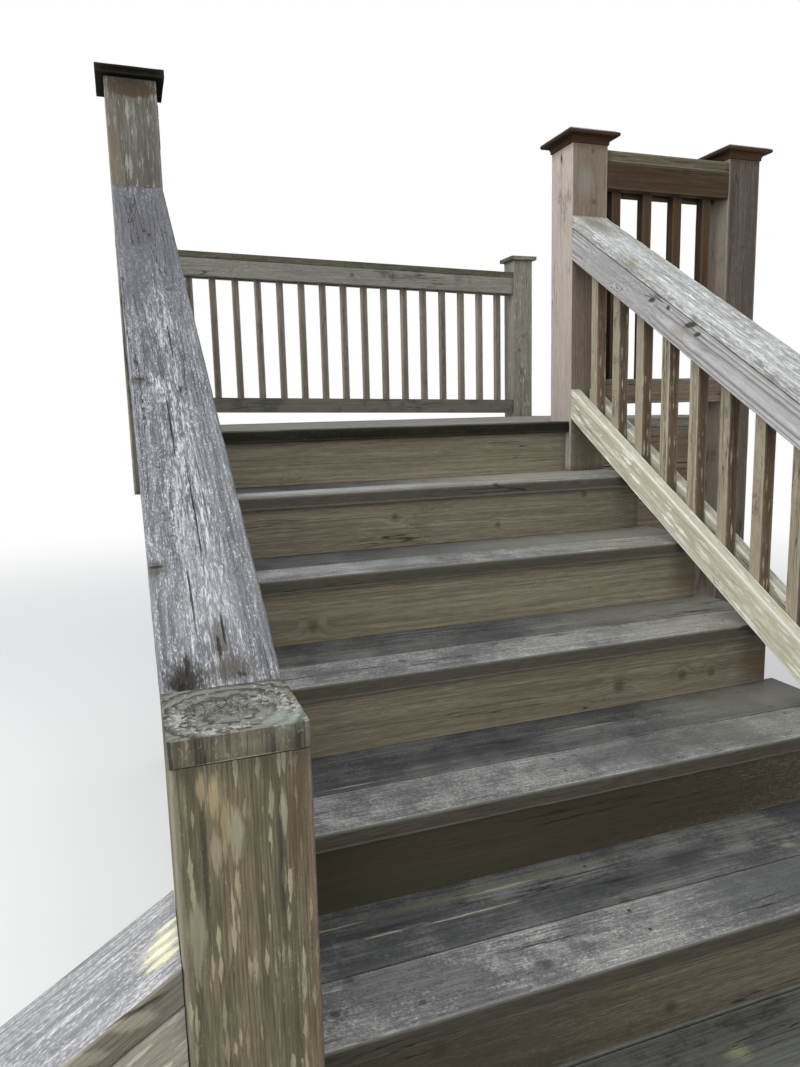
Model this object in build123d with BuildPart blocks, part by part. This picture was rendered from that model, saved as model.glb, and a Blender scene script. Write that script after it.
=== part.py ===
from build123d import *
import math
import os

# Wooden deck stairs: five steps down from a raised deck to a landing, then a quarter turn and
# a lower flight to the ground, with post-and-rail guards. Millimetres, +Z up. The origin is the
# centre of the corner post's foot on the ground. +Y climbs the upper flight, +X runs along its
# treads, and the lower flight climbs towards +X.

# Lumber sections
post_size = 140.0
board_width = 140.0
board_thickness = 38.0
wide_board_width = 184.0
riser_thickness = 19.0
rail_board_depth = 89.0
rail_board_thickness = 38.0
baluster_size = 38.0
joist_depth = 184.0
joist_thickness = 38.0
beam_depth = 235.0
beam_thickness = 76.0
stringer_depth = 286.0

# Stairs
rise = 177.0
run = 287.0
nosing = 26.0
upper_risers = 6
lower_risers = 5
clear_width = 1348.0
tread_board_gap = 3.0
tread_end_overhang = 6.0
upper_tread_left_inset = 20.0
riser_end_inset = 34.0
post_to_first_riser = 156.0
post_proud_of_nosing = 8.0

# Landing and deck
plank_gap = 5.0
plank_notch_clearance = 0.5
edge_overhang = 6.0
landing_under_stair = 340.0
deck_depth = 2255.0
deck_edge_past_back_post = 14.0
deck_left_inset = 26.0
deck_left_guard_inset = 36.0
beam_left_inset = 120.0
deck_step_back = 533.0
joist_spacing = 420.0
skirt_boards = 3
skirt_gap = 3.0
beam_setback = 230.0

# Guards and handrails
upper_rail_height = 706.0
lower_rail_height = 663.0
stair_low_rail_height = 14.0
guard_height = 925.0
side_guard_height = 975.0
guard_low_rail_height = 58.0
back_guard_above_side_guard = 41.0
back_low_rail_height = 83.0
back_guard_sag = -0.024
back_upper_board_depth = 102.0
stair_baluster_pitch = 127.0
stair_baluster_end = 83.0
guard_baluster_pitch = 132.0
guard_baluster_end = 98.0
return_baluster_pitch = 117.0
return_baluster_end = 64.0
return_length = 522.0
back_rail_length = 2384.0

# Post tops, each measured from the top of the guard beside it
top_left_post_above_guard = 10.0
landing_post_above_guard = 60.0
moulded_post_above_guard = 13.0
back_post_above_guard = 62.0
corner_post_above_rail = 3.0
corner_block_height = 29.0
cap_thickness = 24.0
cap_overhang = 22.0
cove_height = 22.0
cove_flare = 18.0
moulded_plate_thickness = 20.0
moulded_plate_overhang = 30.0

# Places worked out from the sizes above
half_post = post_size / 2
slope = rise / run
slope_length = math.hypot(1, slope)
right_post_x = post_size + clear_width
near_post_y = -right_post_x
landing_top = lower_risers * rise
deck_top = landing_top + upper_risers * rise
first_nosing_y = half_post + post_to_first_riser - nosing
deck_nosing_y = first_nosing_y + (upper_risers - 1) * run
top_post_y = deck_nosing_y - post_proud_of_nosing + half_post
deck_frame_front = top_post_y + half_post
deck_frame_back = deck_frame_front + deck_depth
back_post_y = deck_frame_back + half_post
landing_nosing_x = half_post + post_proud_of_nosing
landing_frame_left = landing_nosing_x - post_proud_of_nosing + post_size
return_post_x = right_post_x + post_size + return_length
back_end_post_x = back_rail_length + post_size
deck_front_right = return_post_x + half_post
deck_back_right = back_end_post_x + half_post + deck_edge_past_back_post
deck_guard_left = -half_post + deck_left_guard_inset
back_left_post_x = deck_guard_left + half_post
top_left_post_top = deck_top + side_guard_height + top_left_post_above_guard
landing_post_top = landing_top + guard_height + landing_post_above_guard
moulded_post_top = deck_top + guard_height + moulded_post_above_guard
back_post_top = deck_top + side_guard_height + back_post_above_guard
back_guard_height = side_guard_height + back_guard_above_side_guard
lower_foot_nosing_x = landing_nosing_x - (lower_risers - 1) * run
lower_post_x = lower_foot_nosing_x + nosing - post_to_first_riser - half_post
landing_back = first_nosing_y + nosing + landing_under_stair
landing_right = right_post_x + half_post + joist_thickness
landing_near = near_post_y - half_post - joist_thickness
tread_low = -half_post - tread_end_overhang
tread_high = right_post_x + half_post + tread_end_overhang
riser_low = -half_post + riser_end_inset
riser_high = right_post_x + half_post - riser_end_inset
tooth_set = nosing + riser_thickness


def save(piece, name):
    """Labels a finished piece and writes its file."""
    piece.part.label = name
    export_step(piece.part, f"parts/{name}.step")


def block(x_range, y_range, z_range, mode=Mode.ADD):
    """A straight-sided timber between two opposite corners."""
    sizes = [high - low for low, high in (x_range, y_range, z_range)]
    middle = [(high + low) / 2 for low, high in (x_range, y_range, z_range)]
    with Locations(tuple(middle)):
        Box(*sizes, mode=mode)


def profile(plane, points, start, thickness):
    """A board cut to an outline drawn on a plane, from start to start + thickness across it."""
    with BuildSketch(plane.offset(start), mode=Mode.PRIVATE) as outline:
        Polygon(*points, align=None)
    extrude(outline.sketch, amount=thickness)


def upright(centre_x, centre_y, z_range):
    """A square post."""
    block(
        (centre_x - half_post, centre_x + half_post),
        (centre_y - half_post, centre_y + half_post),
        z_range,
    )


# Each flight and each guard is drawn on an upright plane: x along it, y up, z across it.
upper_plane = Plane(origin=(0, first_nosing_y, landing_top), x_dir=(0, 1, 0), z_dir=(1, 0, 0))
lower_plane = Plane(origin=(lower_foot_nosing_x, 0, 0), x_dir=(1, 0, 0), z_dir=(0, -1, 0))


def tread(plane, step, across_range):
    """One tread: a board at the front and a wider one behind it, up to the next riser."""
    front = (step - 1) * run
    top = step * rise
    back_board = front + board_width + tread_board_gap
    for start, width in ((front, board_width), (back_board, wide_board_width)):
        outline = [
            (start, top - board_thickness),
            (start + width, top - board_thickness),
            (start + width, top),
            (start, top),
        ]
        profile(plane, outline, across_range[0], across_range[1] - across_range[0])


def riser_board(plane, step, across_range):
    """The board that closes one step, from the tread below to the underside of the one above."""
    face = (step - 1) * run + nosing
    low = (step - 1) * rise
    high = step * rise - board_thickness
    outline = [(face, low), (face + riser_thickness, low), (face + riser_thickness, high), (face, high)]
    profile(plane, outline, across_range[0], across_range[1] - across_range[0])


def stringer(plane, steps, start, head):
    """A cut stringer: level and plumb cuts for each step, a level foot and a plumb head."""
    throat = stringer_depth - rise / slope_length
    lower_edge = throat * slope_length
    points = [(tooth_set, 0)]
    for step in range(1, steps + 1):
        seat = step * rise - board_thickness
        points.append(((step - 1) * run + tooth_set, seat))
        points.append((min(step * run + tooth_set, head), seat))
    head_low = slope * (head - tooth_set) - board_thickness - lower_edge
    points.append((head, head_low))
    points.append((tooth_set + (board_thickness + lower_edge) / slope, 0))
    profile(plane, points, start, joist_thickness)


def planks(x_range_at, y_range, top):
    """Decking boards along X, each as long as x_range_at says, the last one ripped to fit."""
    y = y_range[0]
    while y < y_range[1] - plank_gap:
        y_end = min(y + board_width, y_range[1])
        block(x_range_at(y, y_end), (y, y_end), (top - board_thickness, top))
        y += board_width + plank_gap


def post_notch(centre_x, centre_y, top):
    """Cuts the decking clear of a post that passes it."""
    half_notch = half_post + plank_notch_clearance
    block(
        (centre_x - half_notch, centre_x + half_notch),
        (centre_y - half_notch, centre_y + half_notch),
        (top - board_thickness, top),
        mode=Mode.SUBTRACT,
    )


def sloped_board(plane, span, top_at, depth, pitch, start, thickness):
    """A board along a span, its top edge at top_at + pitch * x, with plumb ends."""
    first, last = span
    outline = [
        (first, top_at + pitch * first - depth),
        (last, top_at + pitch * last - depth),
        (last, top_at + pitch * last),
        (first, top_at + pitch * first),
    ]
    profile(plane, outline, start, thickness)


def rail_cap(plane, span, top_at, pitch, across):
    """The flat board on top of a guard, from side to side as across says."""
    depth = board_thickness * math.hypot(1, pitch)
    sloped_board(plane, span, top_at, depth, pitch, across[0], across[1] - across[0])


def rail_boards(plane, span, top_at, low_at, upper_depth, pitch, start):
    """Two boards under the cap and two near the floor, a baluster's width apart."""
    stretch = math.hypot(1, pitch)
    under_cap = top_at - board_thickness * stretch
    low_depth = rail_board_depth * stretch
    for across in (start, start + rail_board_thickness + baluster_size):
        sloped_board(plane, span, under_cap, upper_depth * stretch, pitch, across, rail_board_thickness)
        sloped_board(plane, span, low_at + low_depth, low_depth, pitch, across, rail_board_thickness)


def balusters(plane, span, top_at, low_at, pitch, start, spacing):
    """Square balusters held between the inner and the outer rail boards, up to the cap."""
    under_cap = top_at - board_thickness * math.hypot(1, pitch)
    baluster_start = start + rail_board_thickness
    end, nominal_pitch = spacing
    gaps = max(1, round((span[1] - span[0] - 2 * end) / nominal_pitch))
    step = (span[1] - span[0] - 2 * end) / gaps
    for index in range(gaps + 1):
        middle = span[0] + end + index * step
        side = (middle - baluster_size / 2, middle + baluster_size / 2)
        sloped_board(plane, side, under_cap, under_cap - low_at, pitch, baluster_start, baluster_size)


# Upper flight. Its treads stop short of the left posts' outer faces and run past the right ones.
upper_across = (-half_post + upper_tread_left_inset, tread_high)
upper_head = deck_frame_front - first_nosing_y
with BuildPart() as upper_treads:
    for step in range(1, upper_risers):
        tread(upper_plane, step, upper_across)
save(upper_treads, "upper_treads")

with BuildPart() as upper_riser_boards:
    for step in range(1, upper_risers):
        riser_board(upper_plane, step, (riser_low, riser_high))
    riser_board(upper_plane, upper_risers, (half_post, right_post_x - half_post))
save(upper_riser_boards, "upper_risers")

# Each flight hangs on a stringer beside each post line and one midway
stringer_starts = (
    half_post,
    (right_post_x - joist_thickness) / 2,
    right_post_x - half_post - joist_thickness,
)
with BuildPart() as upper_stringers:
    for start in stringer_starts:
        stringer(upper_plane, upper_risers, start, upper_head)
save(upper_stringers, "upper_stringers")

# Lower flight, with its top tread fitted between the two posts
lower_head = landing_frame_left - lower_foot_nosing_x
with BuildPart() as lower_treads:
    for step in range(1, lower_risers - 1):
        tread(lower_plane, step, (tread_low, tread_high))
    tread(lower_plane, lower_risers - 1, (half_post, right_post_x - half_post))
save(lower_treads, "lower_treads")

with BuildPart() as lower_riser_boards:
    for step in range(1, lower_risers + 1):
        riser_board(lower_plane, step, (riser_low, riser_high))
save(lower_riser_boards, "lower_risers")

with BuildPart() as lower_stringers:
    for start in stringer_starts:
        stringer(lower_plane, lower_risers, start, lower_head)
save(lower_stringers, "lower_stringers")

# Landing: decking on a frame that is bolted to the outer posts
landing_wing_left = -half_post - edge_overhang
landing_wing_near = half_post + plank_gap


def landing_plank_range(y_low, y_high):
    """Behind the corner post the decking reaches further left, under the upper flight."""
    left = landing_wing_left if y_low >= landing_wing_near else landing_nosing_x
    return (left, landing_right + edge_overhang)


with BuildPart() as landing_planks:
    planks(landing_plank_range, (landing_wing_near, landing_back), landing_top)
    near_edge = landing_near - edge_overhang
    y_high = landing_wing_near - plank_gap
    while y_high > near_edge + plank_gap:
        y_low = max(y_high - board_width, near_edge)
        block(
            (landing_nosing_x, landing_right + edge_overhang),
            (y_low, y_high),
            (landing_top - board_thickness, landing_top),
        )
        y_high -= board_width + plank_gap
    post_notch(right_post_x, 0, landing_top)
    post_notch(right_post_x, near_post_y, landing_top)
save(landing_planks, "landing_planks")

landing_joist_top = landing_top - board_thickness
landing_joist_z = (landing_joist_top - joist_depth, landing_joist_top)
landing_inner_right = right_post_x - half_post
near_rim_back = near_post_y - half_post
back_rim_near = landing_back - joist_thickness
wing_rim_left = -half_post
wing_near_rim = (half_post, half_post + joist_thickness)
with BuildPart() as landing_rims:
    block((landing_frame_left, landing_right), (landing_near, near_rim_back), landing_joist_z)
    block((wing_rim_left, landing_frame_left), wing_near_rim, landing_joist_z)
    block((wing_rim_left, landing_right), (back_rim_near, landing_back), landing_joist_z)
save(landing_rims, "landing_rims")

with BuildPart() as landing_joists:
    outer_side = (landing_right - joist_thickness, landing_right)
    wing_side = (wing_rim_left, wing_rim_left + joist_thickness)
    block(outer_side, (near_rim_back, back_rim_near), landing_joist_z)
    block(wing_side, (wing_near_rim[1], back_rim_near), landing_joist_z)
    first_joist = landing_frame_left
    last_joist = landing_inner_right - joist_thickness
    bays = math.ceil((last_joist - first_joist) / joist_spacing)
    for index in range(bays + 1):
        joist_x = first_joist + index * (last_joist - first_joist) / bays
        block((joist_x, joist_x + joist_thickness), (near_rim_back, back_rim_near), landing_joist_z)
save(landing_joists, "landing_joists")

# Deck
deck_rim_left = -half_post + deck_left_inset
deck_left_edge = deck_rim_left - edge_overhang
deck_step_y = deck_frame_front + deck_step_back
nosing_board_back = deck_nosing_y + board_width
with BuildPart() as deck_nosing_board:
    block(
        (half_post, right_post_x - half_post),
        (deck_nosing_y, nosing_board_back),
        (deck_top - board_thickness, deck_top),
    )
save(deck_nosing_board, "deck_nosing_board")


def deck_plank_range(y_low, y_high):
    """The deck is wider behind the step in its right side."""
    right = deck_back_right if y_low >= deck_step_y else deck_front_right
    return (deck_left_edge, right)


with BuildPart() as deck_planks:
    planks(deck_plank_range, (nosing_board_back + plank_gap, deck_frame_back), deck_top)
save(deck_planks, "deck_planks")

deck_joist_top = deck_top - board_thickness
deck_joist_z = (deck_joist_top - joist_depth, deck_joist_top)
front_rim_back = deck_frame_front + joist_thickness
back_rim_front = deck_frame_back - joist_thickness
step_rim_back = deck_step_y + joist_thickness
with BuildPart() as deck_rims:
    block((deck_rim_left, deck_front_right), (deck_frame_front, front_rim_back), deck_joist_z)
    block((deck_front_right, deck_back_right), (deck_step_y, step_rim_back), deck_joist_z)
    block((deck_rim_left, deck_back_right), (back_rim_front, deck_frame_back), deck_joist_z)
save(deck_rims, "deck_rims")

with BuildPart() as deck_joists:
    last_deck_joist = deck_front_right - joist_thickness
    deck_bays = math.ceil((last_deck_joist - deck_rim_left) / joist_spacing)
    for index in range(deck_bays + 1):
        joist_x = deck_rim_left + index * (last_deck_joist - deck_rim_left) / deck_bays
        block((joist_x, joist_x + joist_thickness), (front_rim_back, back_rim_front), deck_joist_z)
    block((deck_back_right - joist_thickness, deck_back_right), (step_rim_back, back_rim_front), deck_joist_z)
save(deck_joists, "deck_joists")

beam_top = deck_joist_z[0]
beam_bottom = beam_top - beam_depth
beam_left = deck_rim_left + beam_left_inset
beam_ends = (
    (deck_frame_front + beam_setback, deck_front_right),
    (deck_frame_back - beam_setback, deck_back_right),
)
half_beam = beam_thickness / 2
with BuildPart() as deck_beams:
    for beam_y, beam_right in beam_ends:
        beam_sides = (beam_y - half_beam, beam_y + half_beam)
        block((beam_left, beam_right), beam_sides, (beam_bottom, beam_top))
save(deck_beams, "deck_beams")

with BuildPart() as deck_support_posts:
    for beam_y, beam_right in beam_ends:
        first_post = beam_left + half_post
        last_post = beam_right - half_post
        for centre_x in (first_post, (first_post + last_post) / 2, last_post):
            upright(centre_x, beam_y, (0, beam_bottom))
save(deck_support_posts, "deck_support_posts")

skirt_left = right_post_x + half_post
skirt_right = return_post_x - half_post
with BuildPart() as deck_skirt:
    for index in range(skirt_boards):
        top = deck_joist_top - index * (board_width + skirt_gap)
        block(
            (skirt_left, skirt_right),
            (deck_frame_front - riser_thickness, deck_frame_front),
            (top - board_width, top),
        )
save(deck_skirt, "deck_skirt")

with BuildPart() as skirt_cleats:
    cleat_low = deck_joist_top - skirt_boards * (board_width + skirt_gap) + skirt_gap
    for cleat_x in (skirt_left, skirt_right - joist_thickness):
        block(
            (cleat_x, cleat_x + joist_thickness),
            (deck_frame_front, deck_frame_front + joist_thickness),
            (cleat_low, deck_joist_z[0]),
        )
save(skirt_cleats, "skirt_cleats")

# Posts. The upper rails meet the corner post near its top, a saw cut parts its top block.
upper_rail_top_at = rise + upper_rail_height
rail_at_corner = landing_top + upper_rail_top_at + slope * (half_post - first_nosing_y)
corner_post_top = rail_at_corner + corner_post_above_rail
with BuildPart() as corner_post:
    upright(0, 0, (0, corner_post_top - corner_block_height))
save(corner_post, "corner_post")

with BuildPart() as corner_post_block:
    upright(0, 0, (corner_post_top - corner_block_height, corner_post_top))
save(corner_post_block, "corner_post_block")

tread_below_deck = deck_top - rise


def flat_cap(centre_x, centre_y, low):
    """A square plate that overhangs a post on all sides."""
    half_plate = half_post + cap_overhang
    block(
        (centre_x - half_plate, centre_x + half_plate),
        (centre_y - half_plate, centre_y + half_plate),
        (low, low + cap_thickness),
    )


def moulded_cap(centre_x, centre_y, low):
    """A cove moulding that flares from the post's sides, and a plate on it."""
    cove_sides = (post_size, post_size + 2 * cove_flare)
    cove_levels = (low, low + cove_height)
    with BuildSketch(Plane.XY.offset(cove_levels[0]), mode=Mode.PRIVATE) as cove_foot:
        with Locations((centre_x, centre_y)):
            Rectangle(cove_sides[0], cove_sides[0])
    with BuildSketch(Plane.XY.offset(cove_levels[1]), mode=Mode.PRIVATE) as cove_head:
        with Locations((centre_x, centre_y)):
            Rectangle(cove_sides[1], cove_sides[1])
    loft([cove_foot.sketch.face(), cove_head.sketch.face()])
    half_plate = half_post + moulded_plate_overhang
    block(
        (centre_x - half_plate, centre_x + half_plate),
        (centre_y - half_plate, centre_y + half_plate),
        (cove_levels[1], cove_levels[1] + moulded_plate_thickness),
    )


with BuildPart() as top_left_post:
    upright(0, top_post_y, (tread_below_deck, top_left_post_top))
save(top_left_post, "top_left_post")

with BuildPart() as top_left_cap:
    flat_cap(0, top_post_y, top_left_post_top)
save(top_left_cap, "top_left_cap")

with BuildPart() as newel_post:
    upright(right_post_x, top_post_y, (tread_below_deck, moulded_post_top))
save(newel_post, "newel_post")

with BuildPart() as newel_cap:
    moulded_cap(right_post_x, top_post_y, moulded_post_top)
save(newel_cap, "newel_cap")

with BuildPart() as return_post:
    upright(return_post_x, top_post_y, (0, moulded_post_top))
save(return_post, "return_post")

with BuildPart() as return_cap:
    moulded_cap(return_post_x, top_post_y, moulded_post_top)
save(return_cap, "return_cap")

# The back posts are bolted to the deck's rim and stop level with its underside
with BuildPart() as back_posts:
    for centre_x in (back_left_post_x, back_end_post_x):
        upright(centre_x, back_post_y, (deck_joist_z[0], back_post_top))
save(back_posts, "back_posts")

with BuildPart() as back_post_caps:
    for centre_x in (back_left_post_x, back_end_post_x):
        flat_cap(centre_x, back_post_y, back_post_top)
save(back_post_caps, "back_post_caps")

landing_post_places = ((right_post_x, 0), (right_post_x, near_post_y), (0, near_post_y))
with BuildPart() as landing_posts:
    for centre_x, centre_y in landing_post_places:
        upright(centre_x, centre_y, (0, landing_post_top))
save(landing_posts, "landing_posts")

with BuildPart() as landing_post_caps:
    for centre_x, centre_y in landing_post_places:
        flat_cap(centre_x, centre_y, landing_post_top)
save(landing_post_caps, "landing_post_caps")

lower_rail_top_at = rise + lower_rail_height
lower_rail_start = lower_post_x + half_post - lower_foot_nosing_x
lower_post_top = lower_rail_top_at + slope * lower_rail_start + corner_post_above_rail
with BuildPart() as lower_end_posts:
    for centre_y in (0, near_post_y):
        upright(lower_post_x, centre_y, (0, lower_post_top))
save(lower_end_posts, "lower_end_posts")

# Rails. Each guard is drawn once from its plane, the span along it, its heights (the cap's top, the
# low boards' underside and the depth of the upper boards), its pitch, where its cap lies and its
# boards start across the plane, and how its balusters are spaced. The boards stand flush with the
# posts on the side where people walk.
sandwich = 2 * rail_board_thickness + baluster_size
right_face = right_post_x - half_post
left_boards = half_post - sandwich


def guard(name, plane, span, heights, pitch, across, spacing):
    """One guard in three files: its cap, its four boards and its balusters."""
    top_at, low_at, upper_depth = heights
    cap_across, boards_start = across
    with BuildPart() as cap:
        rail_cap(plane, span, top_at, pitch, cap_across)
    save(cap, f"{name}_rail_cap")
    with BuildPart() as boards:
        rail_boards(plane, span, top_at, low_at, upper_depth, pitch, boards_start)
    save(boards, f"{name}_rail_boards")
    with BuildPart() as bars:
        balusters(plane, span, top_at, low_at, pitch, boards_start, spacing)
    save(bars, f"{name}_balusters")


stair_low_rail_at = rise + stair_low_rail_height
stair_spacing = (stair_baluster_end, stair_baluster_pitch)
upper_span = (half_post - first_nosing_y, top_post_y - half_post - first_nosing_y)
upper_heights = (upper_rail_top_at, stair_low_rail_at, rail_board_depth)
lower_span = (lower_rail_start, -half_post - lower_foot_nosing_x)
lower_heights = (lower_rail_top_at, stair_low_rail_at, rail_board_depth)
left_across = ((-half_post, half_post), left_boards)
right_across = ((right_face, right_face + post_size), right_face)
guard("upper_left", upper_plane, upper_span, upper_heights, slope, left_across, stair_spacing)
guard("upper_right", upper_plane, upper_span, upper_heights, slope, right_across, stair_spacing)
guard("lower_far", lower_plane, lower_span, lower_heights, slope, left_across, stair_spacing)
guard("lower_near", lower_plane, lower_span, lower_heights, slope, right_across, stair_spacing)

guard_spacing = (guard_baluster_end, guard_baluster_pitch)
return_spacing = (return_baluster_end, return_baluster_pitch)
front_heights = (guard_height, guard_low_rail_height, rail_board_depth)
side_heights = (side_guard_height, guard_low_rail_height, rail_board_depth)
back_heights = (back_guard_height, back_low_rail_height, back_upper_board_depth)
landing_along_y = Plane(origin=(0, 0, landing_top), x_dir=(0, 1, 0), z_dir=(1, 0, 0))
landing_along_x = Plane(origin=(0, 0, landing_top), x_dir=(1, 0, 0), z_dir=(0, -1, 0))
deck_along_y = Plane(origin=(0, 0, deck_top), x_dir=(0, 1, 0), z_dir=(1, 0, 0))
deck_along_x = Plane(origin=(0, 0, deck_top), x_dir=(1, 0, 0), z_dir=(0, -1, 0))
landing_side_span = (near_post_y + half_post, -half_post)
landing_near_span = (half_post, right_face)
deck_side_span = (deck_frame_front, deck_frame_back)
back_span = (back_left_post_x + half_post, back_end_post_x - half_post)
return_span = (right_post_x + half_post, return_post_x - half_post)
side_across = ((deck_guard_left, deck_guard_left + sandwich), deck_guard_left)
back_across = ((-back_post_y - half_post, -back_post_y + half_post), left_boards - back_post_y)
return_across = ((-top_post_y - half_post, -top_post_y + half_post), left_boards - top_post_y)
guard("landing_right", landing_along_y, landing_side_span, front_heights, 0, right_across, guard_spacing)
guard("landing_near", landing_along_x, landing_near_span, front_heights, 0, right_across, guard_spacing)
guard("deck_left", deck_along_y, deck_side_span, side_heights, 0, side_across, guard_spacing)
guard("back", deck_along_x, back_span, back_heights, back_guard_sag, back_across, guard_spacing)
guard("return", deck_along_x, return_span, front_heights, 0, return_across, return_spacing)
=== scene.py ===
# %% [markdown]
# This lesson dresses a weathered wooden deck stair. The solid model already holds every board at
# its real size and place, so the work here is what years of rain do to it: eased and chipped
# edges, open grain, checks, flaking stain, mildew and nail heads. It starts by loading the solid
# model, which stays fixed.

# %% Load the solid model
import math
import random

import bmesh
import bpy
from mathutils import Matrix, Vector, noise


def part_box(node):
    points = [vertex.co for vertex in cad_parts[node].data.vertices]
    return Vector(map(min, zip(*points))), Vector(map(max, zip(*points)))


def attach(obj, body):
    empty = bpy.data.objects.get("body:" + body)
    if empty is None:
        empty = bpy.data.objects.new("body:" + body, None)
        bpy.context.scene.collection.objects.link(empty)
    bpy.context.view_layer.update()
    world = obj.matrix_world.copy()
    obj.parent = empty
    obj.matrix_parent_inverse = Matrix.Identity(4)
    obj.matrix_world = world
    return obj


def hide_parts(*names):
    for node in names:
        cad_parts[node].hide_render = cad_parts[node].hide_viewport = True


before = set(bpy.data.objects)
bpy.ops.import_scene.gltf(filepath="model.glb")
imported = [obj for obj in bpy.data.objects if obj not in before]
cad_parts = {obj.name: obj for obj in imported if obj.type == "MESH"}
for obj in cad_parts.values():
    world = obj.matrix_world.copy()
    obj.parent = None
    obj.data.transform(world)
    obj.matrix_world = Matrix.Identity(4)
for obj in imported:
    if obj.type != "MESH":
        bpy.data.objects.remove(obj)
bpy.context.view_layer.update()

# %% [markdown]
# The camera stands at chest height above the lower flight's top step. Its place and angles were
# solved from the edges of the treads and posts, so it is written as a place, three angles and a
# focal length. The picture's centre is a few pixels off the lens axis, and that becomes a very
# small shift. The picture is taller than wide, so its height is the side that fills the sensor.

# %% Camera
PHOTO_HEIGHT = 1067
SENSOR_WIDTH = 36
EYE = Vector((-0.0859, -0.7998, 1.9939))
YAW = math.radians(19.23)
PITCH = math.radians(8.52)
ROLL = math.radians(-1.42)
FOCAL_PIXELS = 774.69
AXIS_OFFSET_X = -0.87
AXIS_OFFSET_Y = -5.13


def aim(yaw, pitch, roll):
    """A camera's turn from its heading towards +X, its tilt below level and its roll."""
    ahead = Vector((math.sin(yaw) * math.cos(pitch), math.cos(yaw) * math.cos(pitch), -math.sin(pitch)))
    level_right = Vector((math.cos(yaw), -math.sin(yaw), 0))
    level_up = level_right.cross(ahead)
    right = math.cos(roll) * level_right + math.sin(roll) * level_up
    up = -math.sin(roll) * level_right + math.cos(roll) * level_up
    return Matrix((right, up, -ahead)).transposed()


def add_object(name, data):
    """Puts a mesh, a lamp or a lens into the scene."""
    added = bpy.data.objects.new(name, data)
    bpy.context.scene.collection.objects.link(added)
    return added


lens = bpy.data.cameras.new("camera")
lens.sensor_width = SENSOR_WIDTH
lens.lens = FOCAL_PIXELS * SENSOR_WIDTH / PHOTO_HEIGHT
lens.shift_x = -AXIS_OFFSET_X / PHOTO_HEIGHT
lens.shift_y = AXIS_OFFSET_Y / PHOTO_HEIGHT
camera = add_object("camera", lens)
camera.matrix_world = Matrix.Translation(EYE) @ aim(YAW, PITCH, ROLL).to_4x4()
bpy.context.scene.camera = camera
print("lens", round(lens.lens, 2), "mm")

# %% [markdown]
# Shader maths reads best as ordinary maths. A small class wraps a node's output, and each operator
# adds a Math node, so that `1 - mask` works as it reads. Vectors and colours go through Vector Math
# and Mix, because a Math node turns a colour grey. Any other node comes from one method that takes
# its type, its settings and the values or links of its sockets.

# %% Shader maths


class Signal:
    """A number, vector or colour that flows between nodes, and can be used in sums."""

    def __init__(self, bench, output):
        self.bench = bench
        self.output = output

    def __add__(self, other):
        return self.bench.maths("ADD", self, other)

    def __radd__(self, other):
        return self.bench.maths("ADD", other, self)

    def __sub__(self, other):
        return self.bench.maths("SUBTRACT", self, other)

    def __rsub__(self, other):
        return self.bench.maths("SUBTRACT", other, self)

    def __mul__(self, other):
        return self.bench.maths("MULTIPLY", self, other)

    def __rmul__(self, other):
        return self.bench.maths("MULTIPLY", other, self)

    def __truediv__(self, other):
        return self.bench.maths("DIVIDE", self, other)

    def __pow__(self, other):
        return self.bench.maths("POWER", self, other)

    def __rpow__(self, other):
        return self.bench.maths("POWER", other, self)

    def __neg__(self):
        return self.bench.maths("MULTIPLY", self, -1.0)

    def __abs__(self):
        return self.bench.maths("ABSOLUTE", self)


class Bench:
    """A workbench for one material or world: it adds nodes and hands back their outputs."""

    def __init__(self, owner):
        self.owner = owner
        owner.use_nodes = True
        self.tree = owner.node_tree
        self.tree.nodes.clear()

    def node(self, kind, settings, sockets, output=0):
        """Any node: its settings first, then the values or links of its sockets."""
        made = self.tree.nodes.new(kind)
        for key, value in settings.items():
            setattr(made, key, value)
        named = {socket.identifier: socket for socket in made.inputs}
        named.update({socket.name: socket for socket in made.inputs if socket.enabled})
        for key, value in sockets.items():
            socket = named[key] if isinstance(key, str) else made.inputs[key]
            if isinstance(value, Signal):
                self.tree.links.new(value.output, socket)
            else:
                socket.default_value = value
        return Signal(self, made.outputs[output])

    def maths(self, operation, first, second=0.0):
        return self.node("ShaderNodeMath", {"operation": operation}, {0: first, 1: second})

    def vectors(self, operation, first, second=(0.0, 0.0, 0.0), output="Vector"):
        return self.node("ShaderNodeVectorMath", {"operation": operation}, {0: first, 1: second}, output)

    def finish(self, surface, kind="ShaderNodeOutputMaterial"):
        """Ends the material or world with its surface, and hands it back."""
        output = self.tree.nodes.new(kind)
        self.tree.links.new(surface.output, output.inputs["Surface"])
        return self.owner


print("shader maths ready")

# %% [markdown]
# A handful of short helpers give the patterns of wood their names. They are kept apart from the
# classes above because they aren't maths: each asks for one texture or one blend. A signal knows
# its bench, so the helpers need only the signal.

# %% Pattern helpers


def attribute(bench, name):
    """A vector that was stored on the boards' points when they were made."""
    return bench.node("ShaderNodeAttribute", {"attribute_name": name}, {}, "Vector")


def parts_of(vector):
    """The three numbers of a vector."""
    first = vector.bench.node("ShaderNodeSeparateXYZ", {}, {"Vector": vector}, "X")
    outputs = first.output.node.outputs
    return first, Signal(vector.bench, outputs["Y"]), Signal(vector.bench, outputs["Z"])


def vector_of(bench, x, y, z):
    return bench.node("ShaderNodeCombineXYZ", {}, {"X": x, "Y": y, "Z": z})


def stretched(vector, factors):
    """A vector with each of its numbers multiplied, to draw a pattern out along the grain."""
    return vector.bench.vectors("MULTIPLY", vector, factors)


def cloud(vector, factors, detail=2.0, roughness=0.5):
    """Soft noise between 0 and 1 around one half."""
    place = stretched(vector, factors)
    sockets = {"Vector": place, "Scale": 1.0, "Detail": detail, "Roughness": roughness}
    return vector.bench.node("ShaderNodeTexNoise", {}, sockets, "Fac")


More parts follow.
